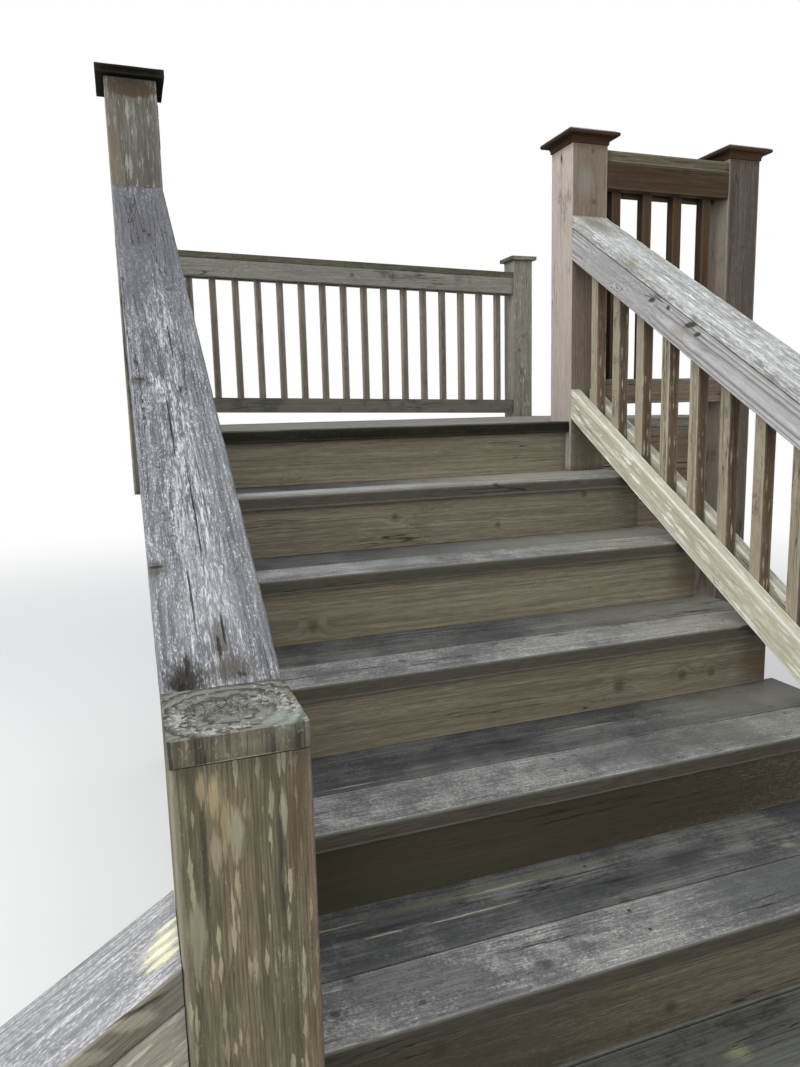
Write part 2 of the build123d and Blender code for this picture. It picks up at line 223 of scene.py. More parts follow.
def cells(vector, scale, **settings):
    """A pattern of cells, as the distance that its settings ask for."""
    sockets = {"Vector": vector, "Scale": scale}
    return vector.bench.node("ShaderNodeTexVoronoi", settings, sockets, "Distance")


def cell_numbers(distance):
    """Three random numbers for each cell of a pattern."""
    return parts_of(Signal(distance.bench, distance.output.node.outputs["Color"]))


def rising(value, low, high):
    """0 below low, 1 above high, and smooth between them; low may be the larger one."""
    if low > high:
        return 1 - rising(value, high, low)
    settings = {"interpolation_type": "SMOOTHSTEP"}
    sockets = {"Value": value, "From Min": low, "From Max": high}
    return value.bench.node("ShaderNodeMapRange", settings, sockets)


def mixed(amount, under, over):
    """One colour laid over another by an amount from 0 to 1."""
    colours = [colour if isinstance(colour, Signal) else (*colour, 1.0) for colour in (under, over)]
    sockets = {"Factor_Float": amount, "A_Color": colours[0], "B_Color": colours[1]}
    settings = {"data_type": "RGBA", "clamp_factor": True}
    return amount.bench.node("ShaderNodeMix", settings, sockets, "Result")


def tinted(colour, brightness):
    """A colour made darker or lighter by a number around 1."""
    grey = vector_of(brightness.bench, brightness, brightness, brightness)
    return brightness.bench.vectors("MULTIPLY", colour, grey)


def covered(value, amount, soft=0.03):
    """A mask over the given share of a noise: 0 leaves it bare and 1 covers nearly all of it."""
    middle = 0.63 - 0.26 * amount
    return rising(value, middle - soft, middle + soft)


print("pattern helpers ready")

# %% [markdown]
# Wood is grown, so its pattern is solid, and it could be wrapped on as a flat picture only by
# hiding the board ends. Here each board carries its own coordinates instead, in metres along it,
# across it and through it from its middle. A lucky number per board shifts the pattern along, so
# no two boards are alike. One recipe then gives arches on wide faces, lines on edges, rings on ends.
# Noises that many layers read are made once here, and so are the ragged sums for the rims of marks.

# %% A board's own coordinates
SHIFT_ALONG = 37.0
SHIFT_ACROSS = 5.0
LEFTWARD = (-1.0, 0.0, 0.0)
FRONTWARD = (0.0, -1.0, 0.0)
UPWARD = (0.0, 0.0, 1.0)


class Board:
    """The coordinates and the soft noises that every layer of the recipe reads."""

    def __init__(self, bench):
        self.bench = bench
        self.spot = attribute(bench, "spot")
        self.half = attribute(bench, "half")
        self.luck = parts_of(attribute(bench, "luck"))
        self.place = bench.node("ShaderNodeTexCoord", {}, {}, "Object")
        self.facing = bench.node("ShaderNodeTexCoord", {}, {}, "Normal")
        shift = vector_of(bench, self.luck[0] * SHIFT_ALONG, self.luck[1] * SHIFT_ACROSS, 0.0)
        self.grain = bench.vectors("ADD", self.spot, shift)
        self.fibre = cloud(self.grain, (26.0, 640.0, 640.0), 2.0, 0.6)
        self.dash = cloud(self.grain, (48.0, 420.0, 420.0), 2.0, 0.6)
        self.stroke = cloud(self.grain, (11.0, 150.0, 150.0), 2.0, 0.6)
        self.streak = cloud(self.grain, (2.4, 70.0, 70.0), 4.0, 0.62)
        self.band = cloud(self.grain, (0.9, 16.0, 16.0))
        self.patch = cloud(self.place, (6.0, 6.0, 6.0), 5.0, 0.66)
        self.speck = cloud(self.place, (170.0, 170.0, 170.0), 3.0, 0.6)
        self.rim = (self.speck - 0.5) * 0.5 + (self.dash - 0.5) * 0.7
        self.tips = (self.stroke - 0.5) * 1.3 + (self.fibre - 0.5) * 1.6 + (self.dash - 0.5) * 0.6


def turned_to(board, direction):
    """1 on the faces that look in a direction and 0 on the others."""
    return rising(board.bench.vectors("DOT_PRODUCT", board.facing, direction, "Value"), 0.5, 0.8)


print("board coordinates ready")

# %% [markdown]
# Marks that stand out on the real stair have a place on it. A point's offset from the mark's centre,
# divided by the mark's half sizes, is under 1 inside it, and a little noise makes its rim ragged.
# An oval suits stains and slits, and a slim shape with two points suits one scale of stain.

# %% Ovals and scales at a place


def offset_from(board, centre, reach):
    """Where a point lies from a mark's centre, counted in the mark's half sizes."""
    return board.bench.vectors("DIVIDE", board.bench.vectors("SUBTRACT", board.place, centre), reach)


def oval(board, centre, reach, soft):
    """1 inside an oval around a place on the stair and 0 outside it, with a ragged rim."""
    distance = board.bench.vectors("LENGTH", offset_from(board, centre, reach), output="Value")
    return rising(distance + board.rim, 1.0, 1.0 - soft)


def pointed(board, centre, reach):
    """1 inside a slim shape with two points, such as a scale of old stain, and 0 outside it."""
    bench = board.bench
    offset = offset_from(board, centre, reach)
    corners = bench.vectors("DOT_PRODUCT", bench.vectors("ABSOLUTE", offset), (1.0, 1.0, 1.0), "Value")
    rounds = bench.vectors("LENGTH", offset, output="Value")
    return rising(corners * 0.5 + rounds * 0.5 + board.tips, 1.1, 0.6)


print("ovals and scales ready")

# %% [markdown]
# Growth rings are shells around the pith, which lies inside or beside the board. A point's distance
# from the pith, times the rings in a metre, counts the rings, and the dark latewood is the last
# part of each. The pith wanders a little along the tree, which bends the lines, and a knot pushes
# them aside, so both are added before the rings are counted.

# %% Rings
PITH_WANDER = 0.014
PITH_ASIDE = 0.07
PITH_DEPTH = 0.09
LEAST_PITH_DEPTH = 0.03


def pith_place(board, recipe):
    """How far the pith lies beside the board's middle and behind it."""
    if recipe["pith"]:
        return recipe["pith"]
    return (board.luck[1] - 0.5) * PITH_ASIDE, board.luck[2] * PITH_DEPTH + LEAST_PITH_DEPTH


def ring_field(board, recipe, bend):
    """The dark latewood of each growth ring, from 0 to 1."""
    _, across, through = parts_of(board.spot)
    wander = cloud(board.grain, (1.0, 3.0, 3.0)) - 0.5
    drift = cloud(board.grain, (0.6, 2.0, 2.0)) - 0.5
    aside, deep = pith_place(board, recipe)
    from_pith_across = across + aside + wander * PITH_WANDER
    from_pith_through = through + deep + drift * PITH_WANDER
    radius = (from_pith_across * from_pith_across + from_pith_through * from_pith_through) ** 0.5
    wobble = cloud(board.grain, (6.0, 90.0, 90.0)) - 0.5
    count = (radius + bend) * recipe["rings_per_metre"] + wobble * recipe["ring_wobble"]
    place = board.bench.maths("FRACT", count)
    return rising(place, 0.3, 0.86) * rising(place, 1.0, 0.9)


print("rings ready")

# %% [markdown]
# Knots are where branches left the trunk. Scattered ones come from a cell pattern, one knot at most
# in a cell, and the few that stand out on the real stair are written down at their places. Both
# give one number, the distance to the nearest knot, which bends the rings and paints the core.

# %% Knots
KNOT_CELLS = 3.4
KNOT_RADIUS = 0.011
KNOT_BEND = 0.006
KNOT_BEND_REACH = 0.026
NO_KNOT = 9.0


def knot_field(board, recipe):
    """How far a point is from the nearest knot, in metres, as if all knots were one size."""
    bench = board.bench
    along, across, _ = parts_of(board.grain)
    flat = vector_of(bench, along, across, 0.0)
    branches = cells(flat, KNOT_CELLS, voronoi_dimensions="2D", feature="F1")
    missing = bench.maths("LESS_THAN", cell_numbers(branches)[0], 1.0 - recipe["knots"])
    nearest = branches / KNOT_CELLS + missing * NO_KNOT
    for centre, radius in recipe["knots_at"]:
        distance = bench.vectors("LENGTH", bench.vectors("SUBTRACT", board.place, centre), output="Value")
        nearest = bench.maths("MINIMUM", nearest, distance * (KNOT_RADIUS / radius))
    return nearest


def ring_bend(board, recipe, knot):
    """How far knots and ripples push the rings aside."""
    bend = math.e ** (-(knot / KNOT_BEND_REACH) * (knot / KNOT_BEND_REACH)) * KNOT_BEND
    if recipe["ripple"]:
        centre, reach, strength = recipe["ripple"]
        swell = cloud(board.place, (16.0, 16.0, 16.0), 1.0) * strength
        bend = bend + oval(board, centre, reach, 0.9) * swell
    return bend


print("knots ready")

# %% [markdown]
# Old stain comes off in slim pointed scales that follow the grain. A cell pattern with square-on
# distances gives pointed cells, and stretching it along the grain makes them slim. Drying cracks
# are the borders of much longer cells, kept only where a broad noise allows them.

# %% Flakes and drying cracks


def flake_field(board, recipe):
    """Slim scales of old stain, each one there or gone. Returns their mask and their shade."""
    ragged = cloud(board.grain, (70.0, 260.0, 260.0)) - 0.5
    along, across, through = parts_of(stretched(board.grain, recipe["flake_count"]))
    place = vector_of(board.bench, along + ragged * 0.5, across + ragged * 0.8, through)
    scales = cells(place, 1.0, feature="F1", distance="MANHATTAN")
    chance, shade, spare = cell_numbers(scales)
    crowd = board.streak * 0.5 + board.band * 0.5
    present = rising(chance + crowd * 0.9, 1.42 - recipe["flakes"], 1.46 - recipe["flakes"])
    strength = rising(spare, -0.3, 0.9)
    return present * strength * rising(scales, 0.63, 0.48), shade


def crack_field(board, amount):
    """Drying cracks: thin, long, and only in some places."""
    bench = board.bench
    sway = stretched(vector_of(bench, 0.0, board.streak, board.streak), (1.0, 1.6, 1.6))
    bent = bench.vectors("ADD", stretched(board.grain, (1.9, 62.0, 62.0)), sway)
    edge = cells(bent, 1.0, feature="DISTANCE_TO_EDGE")
    where = cloud(board.grain, (1.6, 13.0, 13.0), 3.0)
    return rising(edge, 0.028, 0.0) * covered(where, amount * 0.6)


print("flakes and cracks ready")

# %% [markdown]
# A finish is one recipe with its own amounts, so the boards stay relatives. These are the amounts
# of plain treated softwood. The last ones are lists of marks, each with its centre and half sizes
# in metres on the stair, then its colour, strength and softness where it has them.

# %% The recipe's amounts
WOOD = {
    "bright": (0.215, 0.188, 0.132),
    "dark": (0.150, 0.128, 0.088),
    "ring": (0.085, 0.068, 0.046),
    "ring_depth": 0.40,
    "rings_per_metre": 230.0,
    "ring_wobble": 0.5,
    "pith": None,
    "fibre": 0.45,
    "silver": (0.30, 0.30, 0.29),
    "silvering": 0.3,
    "silver_depth": 0.6,
    "silver_middle": 0.0,
    "salt": 0.0,
    "flake": (0.42, 0.38, 0.28),
    "flakes": 0.0,
    "flake_count": (19.0, 120.0, 120.0),
    "mildew": 0.2,
    "mildew_colour": (0.030, 0.029, 0.023),
    "dry_sides": (),
    "lichen": 0.0,
    "lichen_colour": (0.46, 0.48, 0.43),
    "lichen_at": (),
    "cracks": 0.3,
    "knots": 0.25,
    "knot_colour": (0.055, 0.042, 0.028),
    "worn_edge": (0.34, 0.32, 0.28),
    "edge_wear": 0.25,
    "end_dirt": 0.45,
    "relief": 0.0009,
    "shine": 0.21,
    "roughness": 0.72,
    "ripple": None,
    "joint": None,
    "faces": (),
    "knots_at": (),
    "marks": (),
    "scales_at": (),
    "slits": (),
}
CRACK_COLOUR = (0.018, 0.015, 0.011)
print("amounts in the recipe:", len(WOOD))

# %% [markdown]
# The skin is the wood itself: two tones, its rings and its fibres, and the silver that sun and rain
# draw out of them. Faces that look one way may have a colour of their own. Some of these colours
# are weathering from one side, and some are painted light and shade: paler sides towards the light,
# darker tread fronts and a painted reflection of the sky on the tops of moulded caps.

# %% The skin


def salted(board, recipe, colour):
    """Fine pale speckle, where single fibres stand up and catch the light."""
    grains = cloud(board.grain, (190.0, 470.0, 470.0), 2.0, 0.7)
    noise = grains * 0.60 + board.patch * 0.20 + board.stroke * 0.20
    return mixed(covered(noise, recipe["salt"], 0.035) * 0.75, colour, recipe["silver"])


def silvered(board, recipe, colour):
    """The grey skin of old wood, in long dashes along the grain."""
    noise = board.dash * 0.45 + board.stroke * 0.2 + board.patch * 0.2 + board.streak * 0.15
    if recipe["silver_middle"]:
        across = parts_of(board.spot)[1]
        noise = noise + rising(abs(across), 0.055, 0.01) * recipe["silver_middle"]
    grey = covered(noise, recipe["silvering"], 0.035)
    return mixed(grey * recipe["silver_depth"], colour, recipe["silver"])


def skin(board, recipe, late):
    """The wood's two tones under silver, its rings and its fibres."""
    tone = rising(board.streak * 0.4 + board.band * 0.3 + board.stroke * 0.3, 0.38, 0.62)
    colour = silvered(board, recipe, mixed(tone, recipe["dark"], recipe["bright"]))
    if recipe["salt"] > 0:
        colour = salted(board, recipe, colour)
    # Each side's colour holds its weathering, and on several finishes also painted light and shade for that
    # side.
    for direction, side_colour_weather_and_light, amount in recipe["faces"]:
        where = turned_to(board, direction) * (0.45 + board.stroke * 0.5 + board.streak * 0.5)
        colour = mixed(where * amount, colour, side_colour_weather_and_light)
    colour = mixed(late * recipe["ring_depth"], colour, recipe["ring"])
    shade = 1.0 + (board.fibre - 0.5) * (recipe["fibre"] * 2.0) + (board.luck[2] - 0.5) * 0.20
    return tinted(colour, shade)


print("skin ready")

# %% [markdown]
# Years outdoors lie over the skin: flakes of stain that still hold, mildew in soft patches, crusts
# of lichen, edges that feet and hands have worn pale, and ends that are dark because end grain
# drinks. Flakes and crusts also stand a little proud, so they add to the height that makes the bump.

# %% Stain, mildew, lichen and edges


def flaked(board, recipe, colour, height):
    scale, shade = flake_field(board, recipe)
    scale_colour = tinted(recipe["flake"], 0.78 + shade * 0.4)
    return mixed(scale * (0.45 + board.dash * 0.6), colour, scale_colour), height + scale * 0.15


def mildewed(board, recipe, colour):
    """Dark soft patches. Returns the colour and the patches' mask."""
    noise = board.patch * 0.46 + board.speck * 0.14 + board.band * 0.14 + board.stroke * 0.26
    mildew = covered(noise, recipe["mildew"], 0.06)
    for direction in recipe["dry_sides"]:
        mildew = mildew * (1.0 - turned_to(board, direction) * 0.8)
    return mixed(mildew * 0.75, colour, recipe["mildew_colour"]), mildew


def crusted(board, recipe, colour, height):
    """Lichen, most of it on the faces that look up."""
    noise = cloud(board.place, (140.0, 140.0, 140.0), 3.0, 0.68) * 0.7 + board.patch * 0.3
    for centre, reach in recipe["lichen_at"]:
        noise = noise + oval(board, centre, reach, 0.9) * 0.12
    upward = turned_to(board, UPWARD)
    crust = covered(noise, recipe["lichen"], 0.02) * (0.3 + upward * 0.7)
    return mixed(crust * 0.75, colour, recipe["lichen_colour"]), height + crust * 0.4


def edged(board, recipe, colour):
    """Worn long edges and dirty ends."""
    gaps = [half - abs(part) for half, part in zip(parts_of(board.half), parts_of(board.spot))]
    end_gap, side_gap, face_gap = gaps
    long_gap = board.bench.maths("MAXIMUM", side_gap, face_gap)
    ragged = (board.dash - 0.5) * 0.008
    worn = rising(long_gap + ragged, 0.009, 0.002) * (recipe["edge_wear"] * 2.0)
    colour = mixed(worn * board.dash, colour, recipe["worn_edge"])
    grimy = rising(end_gap + ragged * 2.0, 0.028, 0.0) * recipe["end_dirt"]
    return mixed(grimy, colour, recipe["mildew_colour"])


print("weather layers ready")

# %% [markdown]
# Last come the marks at their places, the knots and the cracks. Then the finish puts all its layers
# together. Roughness follows the fibres, and mildew makes the wood a little smoother.

# %% Marks, cracks and the whole finish


def marked(board, recipe, colour):
    """The stains and single scales that stand out on the real stair."""
    for centre, reach, mark_colour, amount, soft in recipe["marks"]:
        colour = mixed(oval(board, centre, reach, soft) * amount, colour, mark_colour)
    for centre, reach, scale_colour in recipe["scales_at"]:
        scale = pointed(board, centre, reach) * (0.45 + board.stroke * 0.5)
        colour = mixed(scale, colour, scale_colour)
    return colour


def joint_line(board, side):
    """The dark line along the side of a board where it meets the next board."""
    reach = tuple(abs(part) for part in side)
    to_side = board.bench.vectors("DOT_PRODUCT", board.half, reach, "Value")
    at_point = board.bench.vectors("DOT_PRODUCT", board.spot, side, "Value")
    return rising(to_side - at_point + (board.dash - 0.5) * 0.002, 0.0034, 0.0018)


def cracked(board, recipe):
    """Scattered cracks, slits at their places and the joint beside a board."""
    crack = crack_field(board, recipe["cracks"])
    for centre, reach in recipe["slits"]:
        crack = board.bench.maths("MAXIMUM", crack, oval(board, centre, reach, 0.6))
    if recipe["joint"]:
        crack = board.bench.maths("MAXIMUM", crack, joint_line(board, recipe["joint"]))
    return crack


def wood(name, **changes):
    """One weathered finish. Returns its material."""
    recipe = {**WOOD, **changes}
    bench = Bench(bpy.data.materials.new(name))
    board = Board(bench)
    knot = knot_field(board, recipe)
    late = ring_field(board, recipe, ring_bend(board, recipe, knot))
    colour = skin(board, recipe, late)
    height = board.fibre * 0.45 + board.dash * 0.35 + board.streak * 0.4
    height = height - late * (0.5 * recipe["ring_depth"])
    if recipe["flakes"] > 0:
        colour, height = flaked(board, recipe, colour, height)
    colour, mildew = mildewed(board, recipe, colour)
    if recipe["lichen"] > 0:
        colour, height = crusted(board, recipe, colour, height)
    colour = marked(board, recipe, edged(board, recipe, colour))

    core = rising(knot + (board.fibre - 0.5) * 0.004, KNOT_RADIUS, KNOT_RADIUS * 0.6)
    rim = rising(knot, KNOT_RADIUS * 1.5, KNOT_RADIUS) - core
    colour = mixed(core * 0.65 + rim * 0.3, colour, recipe["knot_colour"])
    crack = cracked(board, recipe)
    colour = mixed(crack * 0.88, colour, CRACK_COLOUR)
    height = height - crack * 1.8 - core * 0.3
    relief = bench.node("ShaderNodeBump", {}, {"Height": height, "Distance": recipe["relief"]}, "Normal")
    rough = recipe["roughness"] + board.fibre * 0.2 - mildew * 0.1
    sockets = {"Base Color": colour, "Roughness": rough, "Normal": relief}
    sockets["Specular IOR Level"] = recipe["shine"]
    return bench.finish(bench.node("ShaderNodeBsdfPrincipled", {}, sockets, "BSDF"))


print("wood recipe ready")

# %% [markdown]
# A sawn board has flat faces and eased edges, and outdoors its edges chip and its faces sink a
# little. Each board is a worked copy of its solid: first its flat faces are made whole, then the
# long edges are rounded and the end edges only broken.

# %% Whole solids and eased edges
X_AXIS = Vector((1, 0, 0))
Y_AXIS = Vector((0, 1, 0))
Z_AXIS = Vector((0, 0, 1))
RISE = 0.177
RUN = 0.287
UPPER_SLOPE = Vector((0, RUN, RISE)).normalized()
LOWER_SLOPE = Vector((RUN, 0, RISE)).normalized()
WELD_DISTANCE = 0.00005
CUT_DISTANCE = 0.000001
FLAT_ANGLE = math.radians(1)
SHARP_ANGLE = math.radians(50)
NEARLY_PARALLEL = 0.98


def whole_solids(node):
    """The node's solids with each flat face in one piece."""
    timber = bmesh.new()
    timber.from_mesh(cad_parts[node].data)
    bmesh.ops.remove_doubles(timber, verts=timber.verts, dist=WELD_DISTANCE)
    bmesh.ops.dissolve_limit(timber, angle_limit=FLAT_ANGLE, verts=timber.verts, edges=timber.edges)
    return timber


def ease(timber, edges, size, steps):
    """Rounds the given edges."""
    bmesh.ops.bevel(
        timber, geom=edges, offset=size, offset_type="OFFSET", segments=steps, profile=0.5,
        affect="EDGES", clamp_overlap=True,
    )


def ease_edges(timber, direction, long_ease, end_ease, rounded):
    """Rounds the long edges that rounded() picks, then breaks every edge that is still sharp."""
    chosen = []
    for edge in timber.edges:
        run = (edge.verts[1].co - edge.verts[0].co).normalized()
        middle = (edge.verts[0].co + edge.verts[1].co) / 2
        if abs(run.dot(direction)) > NEARLY_PARALLEL and rounded(middle):
            chosen.append(edge)
    ease(timber, chosen, long_ease, 3)
    sharp = [edge for edge in timber.edges if edge.is_manifold and edge.calc_face_angle() > SHARP_ANGLE]
    ease(timber, sharp, end_ease, 2)


def cut_across(timber, direction, spacing):
    """Cuts square to a direction, so that a long board can sink and chip along its length."""
    reach = [point.co.dot(direction) for point in timber.verts]
    cuts = int((max(reach) - min(reach)) / spacing)
    for index in range(1, cuts + 1):
        place = direction * (min(reach) + index * (max(reach) - min(reach)) / (cuts + 1))
        everything = timber.verts[:] + timber.edges[:] + timber.faces[:]
        bmesh.ops.bisect_plane(
            timber, geom=everything, dist=CUT_DISTANCE, plane_co=place, plane_no=direction,
        )


print("solid and edge helpers ready")

# %% [markdown]
# Every board needs its own coordinates before it is given to the recipe, so the points that hang
# together are gathered into boards, and each board's middle, half sizes and lucky numbers are
# stored on its points. Drawing the numbers from the node's name keeps them the same every time.

# %% Boards and their coordinates


def boards_of(timber):
    """The points of each separate board, in a fixed order."""
    left = set(timber.verts)
    groups = []
    while left:
        group = []
        queue = [left.pop()]
        while queue:
            point = queue.pop()
            group.append(point)
            for edge in point.link_edges:
                other = edge.other_vert(point)
                if other in left:
                    left.remove(other)
                    queue.append(other)
        groups.append(group)
    groups.sort(key=lambda group: tuple(round(min(p.co[i] for p in group), 4) for i in range(3)))
    return groups


def side_axes(direction):
    """Two directions square to a board's length."""
    level = next(axis for axis in (X_AXIS, Y_AXIS, Z_AXIS) if abs(axis.dot(direction)) < 0.01)
    return level, direction.cross(level)


def mark_board(group, direction, draw, layers):
    """Stores one board's coordinates on its points. Returns its middle."""
    axes = (direction, *side_axes(direction))
    reaches = [[point.co.dot(axis) for point in group] for axis in axes]
    middles = [(min(reach) + max(reach)) / 2 for reach in reaches]
    halves = [(max(reach) - min(reach)) / 2 for reach in reaches]
    wide, thin = (1, 2) if halves[1] >= halves[2] else (2, 1)
    numbers = (draw.random(), draw.random(), draw.random())
    for index, point in enumerate(group):
        offsets = [reach[index] - middle for reach, middle in zip(reaches, middles)]
        point[layers["spot"]] = (offsets[0], offsets[wide], offsets[thin])
        point[layers["half"]] = (halves[0], halves[wide], halves[thin])
        point[layers["luck"]] = numbers
    return sum((axis * middle for axis, middle in zip(axes, middles)), Vector())


def mark_boards(timber, direction, name, second):
    """Marks every board, and gives the second finish to those that second() picks."""
    layers = {key: timber.verts.layers.float_vector.new(key) for key in ("spot", "half", "luck")}
    for index, group in enumerate(boards_of(timber)):
        middle = mark_board(group, direction, random.Random(f"{name} {index}"), layers)
        if second and second(middle):
            for face in {face for point in group for face in point.link_faces}:
                face.material_index = 1


print("board marking ready")

# %% [markdown]
# Wear only takes wood away, so points only move inwards and no board outgrows its solid. Faces
# sink by a broad, shallow noise. Edges lose more, with a chip now and then where a fine noise
# peaks. A rotten place sinks much further.

# %% Wear
BROAD_WAVES = 9
FINE_WAVES = 60
SHIFT_PER_LETTER = 1.7
EDGE_SQUARENESS = 0.97
CHIPS_START = 0.85
CHIPS_GROW = 4


def wear_down(timber, name, depth, chips, rotten):
    """Sinks the points a little, more on the edges than on the faces, most where wood has rotted."""
    timber.normal_update()
    shift = Vector((len(name) * SHIFT_PER_LETTER, 0, 0))
    moves = []
    for point in timber.verts:
        broad = 0.5 + 0.5 * noise.noise(point.co * BROAD_WAVES + shift)
        fine = 0.5 + 0.5 * noise.noise(point.co * FINE_WAVES + shift)
        sunk = depth * (0.6 * broad + 0.5 * fine)
        if max(abs(part) for part in point.normal) < EDGE_SQUARENESS:
            sunk += chips * max(0.0, fine + broad * 0.5 - CHIPS_START) * CHIPS_GROW
        for centre, reach, bite in rotten:
            near = max(0.0, 1 - (point.co - Vector(centre)).length / reach)
            sunk += bite * near * (0.3 + fine)
        moves.append(point.normal * -sunk)
    for point, move in zip(timber.verts, moves):
        point.co += move


print("wear ready")

# %% [markdown]
# Dressing a node goes through the same steps each time, so one function takes them in order: whole
# solids, eased edges, cuts, wear, and coordinates for the recipe. Fitting turns the timber into a
# piece that rides on the stair's body and stands for its node. The amounts below suit a plain board,
# and a board that shows more gets its own.

# %% Dressing a node


def everywhere(middle):
    return True


DRESSING = {
    "rounded": everywhere,
    "long_ease": 0.003,
    "end_ease": 0.0012,
    "spacing": 0.08,
    "across": None,
    "wear": 0.0007,
    "chips": 0.001,
    "rotten": (),
    "second": None,
    "second_finish": None,
}


def fit(node, timber, finishes):
    """Turns worked timber into the piece that replaces its node."""
    for face in timber.faces:
        face.smooth = True
    mesh = bpy.data.meshes.new(f"{node}_weathered")
    timber.to_mesh(mesh)
    timber.free()
    piece = add_object(f"{node}_weathered", mesh)
    piece.modifiers.new("even_faces", "WEIGHTED_NORMAL")
    for finish in finishes:
        mesh.materials.append(finish)
    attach(piece, "root")
    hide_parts(node)
    return piece


def dress(node, direction, finish, **changes):
    """Makes the weathered piece that stands for a solid node."""
    work = {**DRESSING, **changes}
    timber = whole_solids(node)
    ease_edges(timber, direction, work["long_ease"], work["end_ease"], work["rounded"])
    cut_across(timber, direction, work["spacing"])
    if work["across"]:
        for axis in side_axes(direction):
            cut_across(timber, axis, work["across"])
    wear_down(timber, node, work["wear"], work["chips"], work["rotten"])
    mark_boards(timber, direction, node, work["second"])
    finishes = [finish, work["second_finish"]] if work["second"] else [finish]
    fit(node, timber, finishes)


print("dressing ready")

# %% [markdown]
# The corner post stands nearest. It is olive brown, with slim beige flakes of old stain on its left
# half, fine upright grain on its right half, two dark grooves that start under the saw cut, and a
# reddish right edge. The marks are written in metres at their places on the post.

# %% The corner post
corner_finish = wood(
    "corner_post_olive", bright=(0.158, 0.137, 0.086), dark=(0.088, 0.075, 0.046),
    ring=(0.050, 0.040, 0.026), pith=(0.055, 0.045), flakes=0.44, silvering=0.10, mildew=0.05,
    cracks=0.05, knots=0.0, silver=(0.22, 0.20, 0.145), flake=(0.320, 0.282, 0.190), ring_depth=0.30,
    rings_per_metre=270.0, flake_count=(24.0, 190.0, 190.0), fibre=0.9, salt=0.06,
    marks=(
        ((0.070, -0.078, 1.35), (0.014, 0.03, 0.9), (0.105, 0.056, 0.036), 0.6, 0.8),
        ((-0.070, -0.078, 1.35), (0.009, 0.03, 0.9), (0.230, 0.215, 0.150), 0.6, 0.8),
        ((0.052, -0.07, 1.60), (0.016, 0.02, 0.10), (0.078, 0.058, 0.037), 0.6, 0.9),
        ((-0.005, -0.07, 1.22), (0.060, 0.02, 0.22), (0.092, 0.074, 0.046), 0.45, 0.9),
        ((-0.041, -0.07, 1.56), (0.005, 0.02, 0.11), (0.034, 0.027, 0.020), 0.75, 0.8),
        ((0.034, -0.07, 1.54), (0.005, 0.02, 0.13), (0.034, 0.027, 0.020), 0.75, 0.8),
    ),
    scales_at=(
        ((-0.041, -0.07, 1.640), (0.005, 0.02, 0.022), (0.30, 0.245, 0.140)),
        ((-0.029, -0.07, 1.625), (0.009, 0.02, 0.028), (0.33, 0.265, 0.145)),
        ((-0.020, -0.07, 1.600), (0.005, 0.02, 0.036), (0.29, 0.230, 0.125)),
        ((-0.030, -0.07, 1.570), (0.007, 0.02, 0.030), (0.29, 0.262, 0.180)),
        ((-0.010, -0.07, 1.588), (0.009, 0.02, 0.036), (0.31, 0.282, 0.190)),
        ((0.038, -0.07, 1.600), (0.005, 0.02, 0.030), (0.31, 0.295, 0.215)),
        ((-0.054, -0.07, 1.488), (0.011, 0.02, 0.050), (0.27, 0.255, 0.180)),
    ),
)
dress(
    "corner_post", Z_AXIS, corner_finish, spacing=0.02, across=0.02, chips=0.0012,
    long_ease=0.0035, end_ease=0.0006,
)
print("corner post dressed")

# %% [markdown]
# The block above the saw cut is darker than the post, with short upright checks, and its top is end
# grain: broad rings around a pith near the middle, under pale lichen.

# %% The block on the corner post
block_finish = wood(
    "corner_block_mottled", bright=(0.216, 0.186, 0.130), dark=(0.100, 0.083, 0.054),
    ring=(0.026, 0.026, 0.022), pith=(0.014, 0.004), rings_per_metre=58.0, ring_depth=0.85,
    ring_wobble=1.1, silvering=0.15, silver=(0.34, 0.32, 0.25), mildew=0.12, lichen=0.14, cracks=0.5,
    knots=0.0, faces=((UPWARD, (0.300, 0.302, 0.270), 1.1),), edge_wear=0.3, flakes=0.25,
    flake=(0.36, 0.31, 0.21), lichen_colour=(0.66, 0.68, 0.60), salt=0.12,
    ripple=((-0.005, 0.0, 1.70), (0.07, 0.05, 0.02), 0.05),
    marks=(
        ((0.045, -0.05, 1.69), (0.035, 0.03, 0.02), (0.26, 0.31, 0.24), 0.5, 0.8),
        ((0.0, -0.07, 1.662), (0.08, 0.02, 0.0022), (0.46, 0.44, 0.34), 0.55, 0.6),
        # A painted shade of the hole where the left cap's end meets the block's back.
        ((0.03, 0.068, 1.69), (0.06, 0.012, 0.02), (0.05, 0.045, 0.035), 0.6, 0.6),
        ((-0.045, -0.07, 1.685), (0.006, 0.02, 0.03), (0.05, 0.035, 0.022), 0.6, 0.7),
        ((-0.012, -0.07, 1.685), (0.004, 0.02, 0.03), (0.05, 0.035, 0.022), 0.6, 0.7),
    ),
    lichen_at=(
        ((-0.052, -0.015, 1.691), (0.024, 0.060, 0.008)), ((-0.020, -0.058, 1.691), (0.050, 0.016, 0.008)),
        ((0.030, 0.010, 1.691), (0.020, 0.020, 0.008)), ((0.058, -0.020, 1.691), (0.014, 0.050, 0.008)),
    ),
)
dress(
    "corner_post_block", Z_AXIS, block_finish, spacing=0.008, across=0.01, chips=0.0022,
    long_ease=0.004, end_ease=0.0016,
)
print("block dressed")
